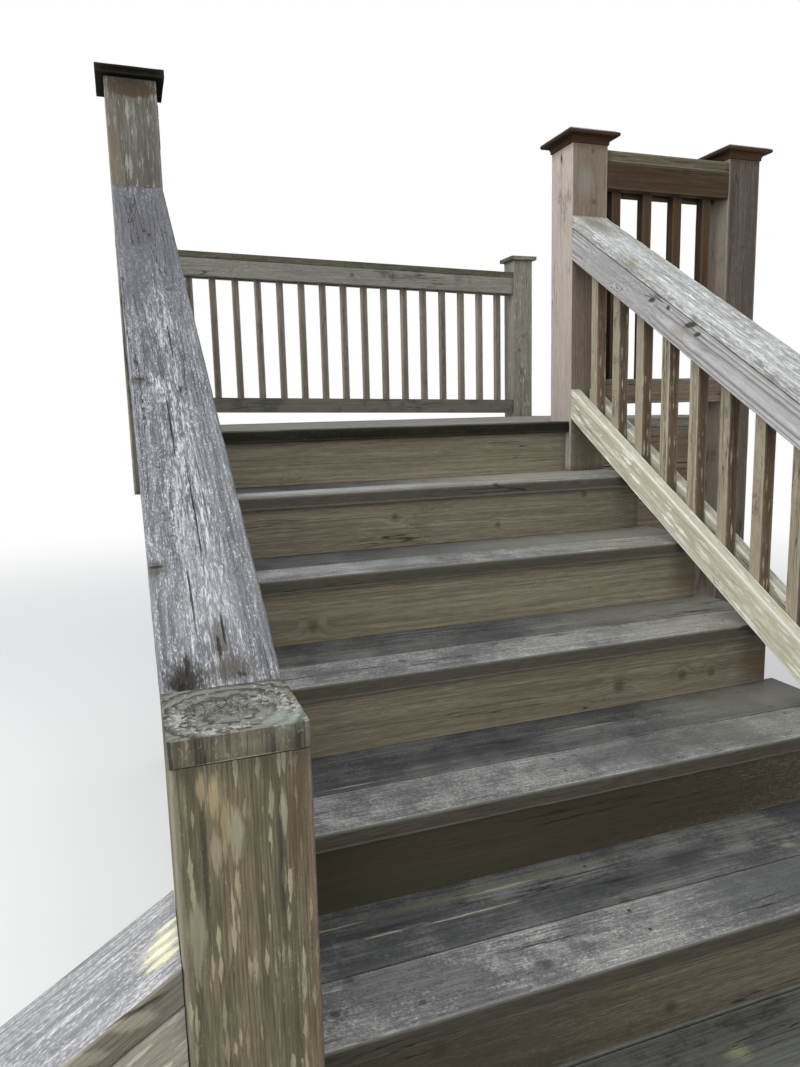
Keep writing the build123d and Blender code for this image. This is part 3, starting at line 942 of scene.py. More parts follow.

# %% [markdown]
# The other posts: the one at the left of the deck's edge is thick with pointed scales of old stain.
# The newel and the post of the return guard are rosy brown. Their left side, which looks to the
# open sky, is paler, partly from weathering and partly from painted light. The posts further back
# have gone green and grey, with the same painted light on their left side, and hidden ones share
# that finish.

# %% Other posts
scaly_finish = wood(
    "scaly_post", bright=(0.115, 0.110, 0.092), dark=(0.072, 0.068, 0.054), flakes=0.85,
    ring=(0.055, 0.046, 0.032), silver=(0.19, 0.18, 0.155), flake=(0.27, 0.265, 0.225),
    flake_count=(13.0, 88.0, 88.0), silvering=0.3, mildew=0.1,
    marks=(
        ((0.0, 1.627, 2.905), (0.09, 0.05, 0.028), (0.050, 0.034, 0.021), 0.9, 0.4),
        ((-0.052, 1.627, 2.62), (0.022, 0.03, 0.32), (0.150, 0.120, 0.085), 0.6, 0.6),
    ),
    knots_at=(((0.012, 1.627, 2.895), 0.010),),
)
newel_finish = wood(
    "rosy_newel", bright=(0.185, 0.148, 0.108), dark=(0.130, 0.102, 0.074), ring=(0.080, 0.058, 0.040),
    silver=(0.225, 0.20, 0.175), silvering=0.25, mildew=0.15, knots=0.0, fibre=0.5, cracks=0.12,
    # The paler left side is partly weathering and partly painted light from the left.
    faces=((LEFTWARD, (0.480, 0.425, 0.380), 0.95),),
    marks=(
        ((1.47, 1.627, 2.76), (0.05, 0.03, 0.07), (0.185, 0.178, 0.158), 0.6, 0.8),
        ((1.49, 1.627, 1.86), (0.10, 0.03, 0.12), (0.095, 0.085, 0.055), 0.7, 0.7),
    ),
    knots_at=(((1.498, 1.627, 2.862), 0.007), ((1.504, 1.627, 2.697), 0.008)),
    slits=(((1.418, 1.700, 2.852), (0.02, 0.008, 0.020)),),
)
return_post_finish = wood(
    "brown_return_post", bright=(0.085, 0.066, 0.054), dark=(0.055, 0.042, 0.034), silvering=0.3,
    ring=(0.040, 0.030, 0.023), silver=(0.130, 0.112, 0.100), mildew=0.2, knots=0.1,
    # The paler left side is partly weathering and partly painted light from the left.
    faces=((LEFTWARD, (0.300, 0.255, 0.200), 0.9),),
)
grey_post_finish = wood(
    "greenish_grey_post", bright=(0.235, 0.220, 0.178), dark=(0.170, 0.156, 0.124), silvering=0.35,
    silver=(0.36, 0.36, 0.31), mildew=0.2, knots=0.2, flakes=0.2,
    # The paler left side is partly weathering and partly painted light from the left.
    faces=((LEFTWARD, (0.320, 0.320, 0.250), 0.7),), knots_at=(((2.524, 4.022, 2.487), 0.010),),
)
dress("top_left_post", Z_AXIS, scaly_finish, spacing=0.04, across=0.035, long_ease=0.004)
dress("newel_post", Z_AXIS, newel_finish, spacing=0.05, across=0.035, long_ease=0.003)
dress("return_post", Z_AXIS, return_post_finish, spacing=0.06)
for node in ("back_posts", "landing_posts", "lower_end_posts"):
    dress(node, Z_AXIS, grey_post_finish, spacing=0.06)
print("other posts dressed")

# %% [markdown]
# Each tread is two boards. The front board is bluish grey, with short pale fibres that the weather
# has raised. Its front edge is a brown stain darkened further with painted shade, and the lower
# steps are darker than the upper ones.

# %% Front boards of the treads
# The brown stain of the treads' fronts and ends, darkened further as painted shade.
NOSING_STAIN_AND_PAINTED_SHADE = (0.070, 0.061, 0.043)
front_tread_finish = wood(
    "silvered_tread", bright=(0.395, 0.392, 0.375), dark=(0.190, 0.191, 0.185), ring=(0.055, 0.055, 0.050),
    ring_depth=0.2, silver=(0.64, 0.636, 0.615), silvering=0.24, silver_depth=0.7, fibre=0.9, salt=0.37,
    mildew=0.50, mildew_colour=(0.038, 0.040, 0.041), cracks=0.25, knots=0.3, edge_wear=0.3,
    worn_edge=(0.30, 0.30, 0.27), roughness=0.66, end_dirt=0.3, dry_sides=(FRONTWARD, LEFTWARD),
    faces=((FRONTWARD, NOSING_STAIN_AND_PAINTED_SHADE, 1.4), (LEFTWARD, NOSING_STAIN_AND_PAINTED_SHADE, 1.4)),
    knots_at=(
        ((0.201, 0.333, 1.062), 0.009), ((0.524, 0.248, 1.062), 0.011), ((0.298, 0.243, 1.062), 0.007),
        ((0.160, 0.269, 1.062), 0.008),
    ),
    marks=(
        ((0.75, 1.44, 1.785), (1.3, 0.10, 0.028), (0.42, 0.40, 0.35), 0.55, 0.4),
        ((0.35, 1.44, 1.785), (0.75, 0.10, 0.028), (0.61, 0.64, 0.64), 0.65, 0.7),
        ((0.35, 1.15, 1.608), (0.70, 0.10, 0.028), (0.52, 0.53, 0.54), 0.60, 0.8),
        ((0.75, 1.058, 1.570), (1.00, 0.03, 0.020), (0.040, 0.036, 0.023), 0.45, 0.8),
        ((1.15, 0.29, 1.062), (0.50, 0.13, 0.025), (0.085, 0.088, 0.088), 0.82, 0.7),
        ((0.98, 0.57, 1.239), (0.38, 0.10, 0.025), (0.075, 0.077, 0.075), 0.72, 0.8),
        ((1.225, 0.330, 1.062), (0.036, 0.012, 0.02), (0.44, 0.46, 0.27), 0.65, 0.8),
        ((1.35, 1.14, 1.605), (0.60, 0.12, 0.030), (0.27, 0.255, 0.205), 0.60, 0.8),
        ((1.40, 0.85, 1.428), (0.65, 0.12, 0.030), (0.27, 0.258, 0.205), 0.65, 0.8),
        ((1.45, 0.57, 1.250), (0.55, 0.12, 0.030), (0.25, 0.240, 0.195), 0.50, 0.8),
    ),
)
print("front boards' finish ready")

# %% [markdown]
# The rear board lies in the shade of the step above and has gone to a smooth charcoal with black
# patches. A few yellow splinters of stain are left along its joint on the lowest steps.

# %% Rear boards of the treads
rear_tread_finish = wood(
    "charcoal_tread", bright=(0.205, 0.203, 0.190), dark=(0.090, 0.091, 0.090), ring=(0.042, 0.042, 0.038),
    ring_depth=0.2, silver=(0.35, 0.35, 0.33), silvering=0.16, silver_depth=0.6, fibre=0.5, salt=0.14,
    mildew=0.50, mildew_colour=(0.026, 0.029, 0.033), cracks=0.2, knots=0.25, edge_wear=0.05,
    roughness=0.60, end_dirt=0.3,
    marks=(
        ((1.30, 1.55, 1.77), (0.75, 0.30, 0.09), (0.40, 0.372, 0.310), 0.8, 0.8),
        ((1.10, 1.20, 1.593), (0.8, 0.25, 0.09), (0.28, 0.265, 0.235), 0.4, 0.8),
        ((1.185, 0.378, 1.062), (0.022, 0.012, 0.02), (0.32, 0.33, 0.20), 0.5, 0.8),
        ((0.55, 0.475, 1.062), (0.45, 0.022, 0.02), (0.200, 0.190, 0.140), 0.5, 0.8),
        ((0.95, 0.42, 1.062), (0.10, 0.04, 0.02), (0.020, 0.021, 0.023), 0.7, 0.8),
        ((0.72, 0.40, 1.062), (0.42, 0.05, 0.02), (0.030, 0.032, 0.035), 0.6, 0.9),
        ((1.35, 1.30, 1.600), (0.60, 0.15, 0.030), (0.245, 0.235, 0.190), 0.65, 0.7),
        ((1.40, 1.01, 1.423), (0.60, 0.15, 0.030), (0.235, 0.226, 0.182), 0.70, 0.7),
        ((1.45, 0.72, 1.246), (0.50, 0.15, 0.030), (0.220, 0.212, 0.172), 0.60, 0.8),
        ((0.62, 0.70, 1.239), (0.25, 0.05, 0.02), (0.022, 0.023, 0.024), 0.6, 0.8),
    ),
    scales_at=(
        ((0.295, 0.420, 1.062), (0.060, 0.003, 0.02), (0.43, 0.40, 0.29)),
        ((0.460, 0.417, 1.062), (0.110, 0.003, 0.02), (0.46, 0.43, 0.32)),
        ((0.550, 0.467, 1.062), (0.090, 0.004, 0.02), (0.42, 0.39, 0.28)),
        ((0.200, 0.468, 1.062), (0.070, 0.003, 0.02), (0.38, 0.36, 0.27)),
        ((0.300, 0.645, 1.239), (0.080, 0.004, 0.02), (0.34, 0.32, 0.26)),
        ((0.900, 0.720, 1.239), (0.100, 0.004, 0.02), (0.36, 0.34, 0.27)),
    ),
)
print("rear boards' finish ready")

# %% [markdown]
# Feet and the mill have rounded each tread's front edge, and the joint between its two boards stays
# tight, so there the edges are only broken. Nosings repeat with the going, so an edge or a board is
# told by how near it lies to one of a row of evenly spaced lines.

# %% Treads
FIRST_UPPER_NOSING = 0.200
FIRST_LOWER_NOSING = -1.070
REAR_BOARD_MIDDLE = 0.235
NOSING_REACH = 0.002
REAR_BOARD_REACH = 0.03


def near_line(value, first, pitch, reach):
    """Whether a value lies close to one of a row of evenly spaced lines."""
    steps = (value - first) / pitch
    return abs(steps - round(steps)) * pitch < reach


def upper_nosing(middle):
    return near_line(middle.y, FIRST_UPPER_NOSING, RUN, NOSING_REACH)


def lower_nosing(middle):
    return near_line(middle.x, FIRST_LOWER_NOSING, RUN, NOSING_REACH)


def upper_rear_board(middle):
    return near_line(middle.y, FIRST_UPPER_NOSING + REAR_BOARD_MIDDLE, RUN, REAR_BOARD_REACH)


def lower_rear_board(middle):
    return near_line(middle.x, FIRST_LOWER_NOSING + REAR_BOARD_MIDDLE, RUN, REAR_BOARD_REACH)


dress(
    "upper_treads", X_AXIS, front_tread_finish, rounded=upper_nosing, long_ease=0.005, end_ease=0.001,
    spacing=0.03, across=0.06, chips=0.0018, second=upper_rear_board, second_finish=rear_tread_finish,
)
dress(
    "lower_treads", Y_AXIS, front_tread_finish, rounded=lower_nosing, long_ease=0.005, end_ease=0.001,
    spacing=0.05, chips=0.0018, second=lower_rear_board, second_finish=rear_tread_finish,
)
print("treads dressed")

# %% [markdown]
# Risers keep more of their olive stain, because rain hardly reaches them. Their grain runs level,
# fine and faint, with round knots. The lowest ones are nearly black in places.

# %% Risers
RISER_KNOTS = (
    ((0.660, 1.374, 1.684), 0.010), ((1.002, 1.374, 1.636), 0.009), ((1.314, 1.374, 1.716), 0.010),
    ((0.333, 1.087, 1.457), 0.012), ((1.053, 0.800, 1.292), 0.016), ((1.248, 0.800, 1.294), 0.012),
    ((1.341, 0.800, 1.290), 0.011), ((0.767, 0.226, 0.922), 0.012), ((0.319, 0.226, 0.983), 0.013),
)
riser_finish = wood(
    "olive_riser", bright=(0.215, 0.190, 0.134), dark=(0.138, 0.120, 0.081), ring=(0.074, 0.060, 0.038),
    ring_depth=0.34, salt=0.08, silver=(0.27, 0.255, 0.20), silvering=0.12, silver_depth=0.4,
    mildew=0.06, fibre=0.6, mildew_colour=(0.050, 0.045, 0.028), cracks=0.10, knots=0.0,
    knots_at=RISER_KNOTS, edge_wear=0.05, end_dirt=0.35,
    marks=(
        ((0.55, 0.513, 1.13), (1.40, 0.03, 0.18), (0.032, 0.027, 0.014), 0.87, 0.6),
        ((0.05, 0.226, 0.95), (1.00, 0.03, 0.17), (0.052, 0.046, 0.031), 0.80, 0.8),
        ((1.50, 0.80, 1.30), (0.10, 0.03, 0.08), (0.120, 0.070, 0.038), 0.6, 0.9),
        ((1.50, 1.087, 1.48), (0.10, 0.03, 0.08), (0.120, 0.075, 0.042), 0.5, 0.9),
        ((0.25, 0.513, 1.085), (0.55, 0.03, 0.035), (0.045, 0.042, 0.024), 0.6, 0.9),
        ((0.40, 0.226, 0.900), (0.70, 0.03, 0.025), (0.050, 0.045, 0.026), 0.5, 0.9),
    ),
)
dress("upper_risers", X_AXIS, riser_finish, spacing=0.06, end_ease=0.001, long_ease=0.001)
dress("lower_risers", Y_AXIS, riser_finish, spacing=0.08, end_ease=0.001, long_ease=0.001)
print("risers dressed")

# %% [markdown]
# The left handrail's cap is the most weathered board: violet grey and speckled, with white fibres
# and long cracks down its middle, knots at its left edge and a rotten lower end behind the corner
# post. Its lower end is bitten away in the mesh, because a painted hole would look flat there.

# %% Left handrail's cap
left_cap_finish = wood(
    "violet_rail_cap", bright=(0.190, 0.197, 0.212), dark=(0.095, 0.099, 0.108), ring=(0.050, 0.051, 0.056),
    ring_depth=0.45, rings_per_metre=210.0, silver=(0.47, 0.48, 0.495), silvering=0.12, silver_depth=0.75,
    silver_middle=0.08, salt=0.30, mildew=0.28, mildew_colour=(0.060, 0.059, 0.066), cracks=0.4,
    knots=0.15, fibre=1.1, edge_wear=0.1, worn_edge=(0.36, 0.36, 0.36), relief=0.0016,
    knots_at=(((-0.056, 0.677, 2.062), 0.016), ((-0.060, 0.251, 1.799), 0.015), ((0.03, 1.02, 2.27), 0.008)),
    slits=(
        ((-0.052, 0.677, 2.064), (0.012, 0.02, 0.002)), ((-0.058, 0.251, 1.800), (0.012, 0.02, 0.0015)),
        ((-0.030, 0.946, 2.228), (0.003, 0.005, 0.003)), ((0.002, 0.34, 1.855), (0.0015, 0.16, 0.10)),
        ((-0.012, 0.55, 1.985), (0.0018, 0.14, 0.09)), ((0.012, 0.80, 2.139), (0.0018, 0.16, 0.10)),
        ((-0.020, 0.20, 1.768), (0.0020, 0.09, 0.06)), ((-0.044, 0.086, 1.698), (0.015, 0.012, 0.020)),
        ((-0.036, 0.106, 1.710), (0.004, 0.022, 0.016)), ((0.004, 0.125, 1.722), (0.0028, 0.030, 0.02)),
        ((0.012, 0.150, 1.737), (0.0022, 0.035, 0.025)), ((0.026, 0.089, 1.700), (0.012, 0.006, 0.01)),
    ),
    marks=(
        ((-0.038, 0.090, 1.700), (0.030, 0.030, 0.03), (0.022, 0.018, 0.014), 0.95, 0.6),
        ((0.006, 0.138, 1.730), (0.018, 0.050, 0.05), (0.050, 0.043, 0.032), 0.85, 0.8),
        ((0.015, 0.095, 1.704), (0.045, 0.030, 0.03), (0.060, 0.052, 0.038), 0.8, 0.8),
        ((0.060, 0.40, 1.892), (0.018, 0.5, 0.4), (0.21, 0.220, 0.205), 0.2, 0.9),
        ((0.0, 1.35, 2.48), (0.16, 0.95, 0.60), (0.082, 0.082, 0.090), 0.95, 1.0),
        ((0.0, 0.20, 1.765), (0.10, 0.16, 0.12), (0.50, 0.50, 0.49), 0.16, 1.0),
    ),
)
dress(
    "upper_left_rail_cap", UPPER_SLOPE, left_cap_finish, spacing=0.014, across=0.014, chips=0.003,
    long_ease=0.006, end_ease=0.002, wear=0.0016,
    rotten=(
        ((-0.038, 0.085, 1.697), 0.040, 0.016), ((0.006, 0.130, 1.725), 0.035, 0.008),
        ((0.030, 0.085, 1.697), 0.030, 0.008),
    ),
)
print("left cap dressed")

# %% [markdown]
# Under the cap run two sloping boards of pale grey, and between them stand square balusters. The
# balusters are brown, and tan on the side that looks to the open sky, partly from weathering and
# partly from painted light.

# %% Left handrail's boards and balusters
rail_board_finish = wood(
    "grey_rail_board", bright=(0.40, 0.385, 0.35), dark=(0.28, 0.262, 0.232), ring=(0.185, 0.165, 0.140),
    silver=(0.52, 0.52, 0.50), silvering=0.35, flakes=0.12, flake=(0.55, 0.54, 0.46), mildew=0.15,
)
dark_baluster_finish = wood(
    "tan_baluster", bright=(0.140, 0.096, 0.056), dark=(0.084, 0.057, 0.034), ring=(0.072, 0.048, 0.030),
    silver=(0.30, 0.26, 0.19), silvering=0.15, flakes=0.34, flake=(0.38, 0.340, 0.255), mildew=0.15,
    # The tan left side is partly weathering and partly painted light from the left.
    faces=((LEFTWARD, (0.41, 0.365, 0.265), 0.8),), knots=0.1,
)
dress("upper_left_rail_boards", UPPER_SLOPE, rail_board_finish)
dress("upper_left_balusters", Z_AXIS, dark_baluster_finish)
print("left handrail dressed")

# %% [markdown]
# The right handrail's cap is pale silver, mossy beside the newel. The board under it is violet grey
# with grain that ripples like a tiger's coat, and has small rotten holes. The sloping board below
# the balusters keeps a flaking yellow green stain. The balusters are brown, paler on the sky's
# side, partly from weathering and partly from painted light.

# %% Right handrail
right_cap_finish = wood(
    "silver_rail_cap", bright=(0.36, 0.368, 0.358), dark=(0.220, 0.223, 0.208), ring=(0.150, 0.147, 0.130),
    flakes=0.42, flake=(0.70, 0.71, 0.69), flake_count=(17.0, 120.0, 120.0),
    silver=(0.62, 0.645, 0.66), silvering=0.42, silver_depth=0.8, mildew=0.24, salt=0.30, cracks=0.4,
    knots=0.15, mildew_colour=(0.130, 0.128, 0.092), fibre=0.9, edge_wear=0.3, worn_edge=(0.52, 0.52, 0.48),
    joint=(0.0, 0.0, 1.0),
    marks=(
        ((1.47, 1.56, 2.605), (0.07, 0.16, 0.11), (0.165, 0.160, 0.098), 0.8, 0.8),
        ((1.53, 1.30, 2.45), (0.03, 0.40, 0.26), (0.26, 0.255, 0.17), 0.55, 0.9),
        ((1.425, 1.28, 2.435), (0.02, 0.22, 0.14), (0.22, 0.21, 0.14), 0.5, 0.9),
    ),
)
upper_board_finish = wood(
    "rippled_rail_board", bright=(0.455, 0.445, 0.440), dark=(0.335, 0.325, 0.325),
    ring=(0.140, 0.130, 0.126), ring_depth=0.72, rings_per_metre=150.0, silver=(0.56, 0.565, 0.57),
    silvering=0.35, silver_depth=0.5, mildew=0.08, cracks=0.2, knots=0.05,
    ripple=((1.418, 1.38, 2.36), (0.06, 0.26, 0.20), 0.085),
    slits=(
        ((1.418, 1.185, 2.305), (0.02, 0.022, 0.010)), ((1.418, 1.111, 2.272), (0.02, 0.012, 0.010)),
        ((1.418, 1.016, 2.214), (0.02, 0.036, 0.011)), ((1.418, 0.985, 2.185), (0.02, 0.018, 0.009)),
    ),
    marks=(((1.418, 1.05, 2.20), (0.03, 0.12, 0.03), (0.25, 0.22, 0.17), 0.5, 0.9),),
)
low_board_finish = wood(
    "flaking_low_board", bright=(0.600, 0.580, 0.445), dark=(0.420, 0.405, 0.305), ring=(0.290, 0.272, 0.195),
    silver=(0.66, 0.65, 0.56), silvering=0.25, flakes=0.66, flake=(0.90, 0.88, 0.78), mildew=0.10,
    flake_count=(12.0, 78.0, 78.0), edge_wear=0.7, worn_edge=(0.74, 0.74, 0.68), cracks=0.15, knots=0.1,
    knots_at=(((1.418, 1.155, 1.887), 0.011), ((1.418, 1.002, 1.433), 0.012), ((1.418, 0.917, 1.394), 0.012)),
)
LOW_BOARD_LINE = 1.2


def below_balusters(middle):
    """Whether a sloping board is one of the low pair, which lies nearer the treads."""
    return middle.z - RISE / RUN * middle.y < LOW_BOARD_LINE


dress(
    "upper_right_rail_cap", UPPER_SLOPE, right_cap_finish, spacing=0.04, across=0.035, chips=0.002,
    long_ease=0.005,
)
dress(
    "upper_right_rail_boards", UPPER_SLOPE, upper_board_finish, spacing=0.04, across=0.045, chips=0.0015,
    second=below_balusters, second_finish=low_board_finish,
)
dress("upper_right_balusters", Z_AXIS, dark_baluster_finish, spacing=0.1)
print("right handrail dressed")

# %% [markdown]
# The lower flight's rails turn the corner in the foreground. Their cap is grey violet with short
# pale fibres, and a patch of flaking yellow white stain lies where it meets the corner post.

# %% Lower flight and landing guards
lower_cap_finish = wood(
    "fibrous_rail_cap", bright=(0.30, 0.303, 0.315), dark=(0.19, 0.192, 0.202), ring=(0.12, 0.120, 0.122),
    silver=(0.57, 0.58, 0.57), silvering=0.24, salt=0.42, silver_depth=0.6, fibre=0.6, mildew=0.18,
    mildew_colour=(0.13, 0.13, 0.125), cracks=0.15, knots=0.15, relief=0.0014,
    faces=((FRONTWARD, (0.150, 0.135, 0.098), 1.3),), dry_sides=(FRONTWARD,),
    marks=(
        ((-0.088, -0.014, 1.446), (0.040, 0.036, 0.040), (0.66, 0.63, 0.42), 0.5, 0.9),
        ((-0.120, -0.070, 1.412), (0.030, 0.010, 0.012), (0.30, 0.28, 0.21), 0.7, 0.5),
        ((-0.170, -0.070, 1.385), (0.030, 0.010, 0.010), (0.30, 0.28, 0.21), 0.6, 0.5),
    ),
    scales_at=(
        ((-0.085, -0.036, 1.447), (0.034, 0.006, 0.022), (0.74, 0.71, 0.46)),
        ((-0.088, -0.020, 1.446), (0.040, 0.005, 0.026), (0.76, 0.73, 0.50)),
        ((-0.084, -0.004, 1.448), (0.036, 0.006, 0.024), (0.74, 0.71, 0.46)),
        ((-0.080, 0.012, 1.450), (0.028, 0.005, 0.020), (0.72, 0.70, 0.50)),
    ),
)
lower_board_finish = wood(
    "tan_rail_board", bright=(0.335, 0.305, 0.250), dark=(0.255, 0.228, 0.180), ring=(0.170, 0.145, 0.105),
    silver=(0.46, 0.44, 0.38), silvering=0.25, flakes=0.25, flake=(0.50, 0.48, 0.40), mildew=0.12,
)
dress(
    "lower_far_rail_cap", LOWER_SLOPE, lower_cap_finish, spacing=0.03, across=0.03, chips=0.002,
    long_ease=0.005,
)
dress("lower_far_rail_boards", LOWER_SLOPE, lower_board_finish, spacing=0.05)
dress("lower_near_rail_cap", LOWER_SLOPE, lower_cap_finish, long_ease=0.005)
dress("lower_near_rail_boards", LOWER_SLOPE, lower_board_finish)
for side, direction in (("landing_right", Y_AXIS), ("landing_near", X_AXIS)):
    dress(f"{side}_rail_cap", direction, right_cap_finish, long_ease=0.005)
    dress(f"{side}_rail_boards", direction, rail_board_finish)
    dress(f"{side}_balusters", Z_AXIS, dark_baluster_finish, spacing=0.15)
for side in ("lower_far", "lower_near"):
    dress(f"{side}_balusters", Z_AXIS, dark_baluster_finish, spacing=0.15)
print("lower and landing guards dressed")

# %% [markdown]
# The guards around the deck have kept more of their brown stain. The return guard is the brownest,
# with a paler low board. The back guard is a drab grey brown, with a thin dark green edge along its
# cap. The deck's left guard shares its finishes.

# %% Deck guards
return_finish = wood(
    "brown_return_guard", bright=(0.064, 0.037, 0.016), dark=(0.037, 0.021, 0.009),
    ring=(0.022, 0.013, 0.007), silver=(0.12, 0.086, 0.052), silvering=0.12, silver_depth=0.5,
    mildew=0.2, knots=0.15, edge_wear=0.15, worn_edge=(0.20, 0.16, 0.11),
)
return_low_finish = wood(
    "tan_return_board", bright=(0.185, 0.146, 0.100), dark=(0.125, 0.097, 0.066), ring=(0.072, 0.053, 0.034),
    silver=(0.24, 0.205, 0.155), silvering=0.2, mildew=0.2, knots=0.15,
)
return_cap_finish = wood(
    "mossy_return_cap", bright=(0.115, 0.098, 0.058), dark=(0.072, 0.060, 0.035), ring=(0.042, 0.034, 0.020),
    silver=(0.165, 0.155, 0.105), silvering=0.25, mildew=0.2, knots=0.1, edge_wear=0.2,
)
back_board_finish = wood(
    "drab_back_board", bright=(0.210, 0.202, 0.174), dark=(0.150, 0.143, 0.120), ring=(0.095, 0.088, 0.070),
    silver=(0.30, 0.295, 0.268), silvering=0.3, mildew=0.2, knots=0.15, cracks=0.3,
    knots_at=(((1.325, 4.022, 2.845), 0.012),),
)
back_low_finish = wood(
    "dark_back_board", bright=(0.150, 0.143, 0.112), dark=(0.105, 0.099, 0.076), ring=(0.068, 0.063, 0.045),
    silver=(0.215, 0.21, 0.175), silvering=0.25, mildew=0.3, knots=0.2,
)
back_cap_finish = wood(
    "green_back_cap", bright=(0.095, 0.090, 0.058), dark=(0.060, 0.057, 0.038), ring=(0.036, 0.034, 0.022),
    silver=(0.20, 0.195, 0.155), silvering=0.25, mildew=0.3, knots=0.1,
)
back_baluster_finish = wood(
    "grey_tan_baluster", bright=(0.200, 0.176, 0.142), dark=(0.115, 0.095, 0.072), ring=(0.072, 0.057, 0.042),
    silver=(0.29, 0.275, 0.24), silvering=0.3, mildew=0.2, knots=0.1,
    # The paler left side is partly weathering and partly painted light from the left.
    faces=((LEFTWARD, (0.33, 0.31, 0.255), 0.7),),
)
LOW_DECK_RAIL = 2.3


def low_on_the_deck(middle):
    """Whether a board of a deck guard is the one below the balusters."""
    return middle.z < LOW_DECK_RAIL


dress("return_rail_cap", X_AXIS, return_cap_finish, spacing=0.05, long_ease=0.004)
dress(
    "return_rail_boards", X_AXIS, return_finish, spacing=0.05, second=low_on_the_deck,
    second_finish=return_low_finish,
)
dress("return_balusters", Z_AXIS, return_finish, spacing=0.1)
for side, direction, baluster_spacing in (("back", X_AXIS, 0.1), ("deck_left", Y_AXIS, 0.15)):
    dress(f"{side}_rail_cap", direction, back_cap_finish, long_ease=0.004)
    dress(
        f"{side}_rail_boards", direction, back_board_finish, second=low_on_the_deck,
        second_finish=back_low_finish,
    )
    dress(f"{side}_balusters", Z_AXIS, back_baluster_finish, spacing=baluster_spacing)
print("deck guards dressed")

# %% [markdown]
# The deck's front board is nearly black with mildew, and its planks behind are a dusty grey. The
# landing is dark and damp. Everything under the decking keeps the brown of treated lumber.

# %% Decking and framing
nosing_finish = wood(
    "mouldy_nosing", bright=(0.028, 0.026, 0.016), dark=(0.012, 0.011, 0.007), ring=(0.010, 0.010, 0.007),
    silver=(0.110, 0.110, 0.090), silvering=0.15, silver_depth=0.5, mildew=0.5,
    mildew_colour=(0.008, 0.008, 0.006), cracks=0.4, knots=0.2, edge_wear=0.15,
    worn_edge=(0.13, 0.13, 0.10), lichen=0.06, lichen_colour=(0.26, 0.27, 0.20), shine=0.06,
    faces=((UPWARD, (0.230, 0.222, 0.190), 0.8),),
)
plank_finish = wood(
    "dusty_plank", bright=(0.290, 0.275, 0.245), dark=(0.205, 0.192, 0.165), ring=(0.135, 0.122, 0.100),
    silver=(0.40, 0.395, 0.37), silvering=0.35, mildew=0.25,
)
landing_finish = wood(
    "damp_plank", bright=(0.145, 0.152, 0.136), dark=(0.110, 0.114, 0.101), ring=(0.075, 0.077, 0.068),
    silver=(0.25, 0.26, 0.25), silvering=0.05, silver_depth=0.5, mildew=0.4, fibre=0.3, cracks=0.1,
    marks=(((0.838, 0.138, 0.885), (0.036, 0.026, 0.02), (0.31, 0.32, 0.18), 0.55, 0.9),),
)
skirt_finish = wood(
    "tan_skirt", bright=(0.205, 0.165, 0.113), dark=(0.144, 0.113, 0.076), ring=(0.085, 0.064, 0.041),
    silver=(0.25, 0.22, 0.17), silvering=0.2, mildew=0.2,
)
framing_finish = wood("treated_framing", silvering=0.15, mildew=0.25)
dress("deck_nosing_board", X_AXIS, nosing_finish, spacing=0.02, across=0.03, chips=0.003, long_ease=0.004)
dress("deck_planks", X_AXIS, plank_finish, long_ease=0.002)
dress("landing_planks", X_AXIS, landing_finish, long_ease=0.002)
dress("deck_skirt", X_AXIS, skirt_finish)
for node, direction in (
    ("skirt_cleats", Z_AXIS), ("deck_rims", X_AXIS), ("deck_joists", Y_AXIS), ("deck_beams", X_AXIS),
    ("landing_rims", X_AXIS), ("landing_joists", Y_AXIS), ("deck_support_posts", Z_AXIS),
    ("upper_stringers", UPPER_SLOPE), ("lower_stringers", LOWER_SLOPE),
):
    dress(node, direction, framing_finish, spacing=0.15)
print("decking and framing dressed")

# %% [markdown]
# Two kinds of cap close the posts. The plain ones are thin square plates, nearly black at the front
# and pale and ragged at the back. Moulded ones are brown, with a painted reflection of the sky on
# their top.

# %% Finishes of the post caps
plate_finish = wood(
    "dark_cap_plate", bright=(0.006, 0.005, 0.004), dark=(0.003, 0.003, 0.002), ring=(0.003, 0.003, 0.002),
    silver=(0.09, 0.08, 0.066), silvering=0.08, silver_depth=0.4, mildew=0.1, edge_wear=0.12,
    worn_edge=(0.10, 0.085, 0.06), faces=((UPWARD, (0.14, 0.14, 0.125), 0.8),), shine=0.04,
)
pale_plate_finish = wood(
    "ragged_pale_plate", bright=(0.20, 0.19, 0.155), dark=(0.115, 0.106, 0.085), silver=(0.42, 0.42, 0.38),
    silvering=0.3, mildew=0.35, cracks=0.5,
)
moulding_painted_sky_finish = wood(
    "brown_moulding_painted_sky_top", bright=(0.056, 0.027, 0.012), dark=(0.030, 0.014, 0.006), ring=(0.017, 0.010, 0.006),
    silver=(0.10, 0.072, 0.050), silvering=0.12, silver_depth=0.4, mildew=0.15, cracks=0.1, knots=0.0,
    # The pale blue top is a painted reflection of the sky.
    edge_wear=0.1, faces=((UPWARD, (0.36, 0.39, 0.45), 0.9),), roughness=0.5, shine=0.09,
)
print("cap finishes ready")

# %% [markdown]
# The newel and the post of the return guard carry a moulded cap: a fillet, a hollow that flares out
# from the post, a plate with a rounded edge and a low pyramid that sheds rain. A moulding is one
# profile taken round a square, so it is written as steps out from the post and up from its top.

# %% Post caps
COVE_HEIGHT = 0.022
COVE_FLARE = 0.018
CURVE_STEPS = 6
FILLET = 0.003
FILLET_HEIGHT = 0.004
PLATE_OVERHANG = 0.030
PLATE_HEIGHT = 0.020
PLATE_ROUND = 0.006
PLATE_HALF_EDGE = 0.008
PLATE_SHOULDERS = ((0.009, 0.017), (0.012, PLATE_HEIGHT))
PYRAMID_RISE = 0.024
POST_HALF = 0.070


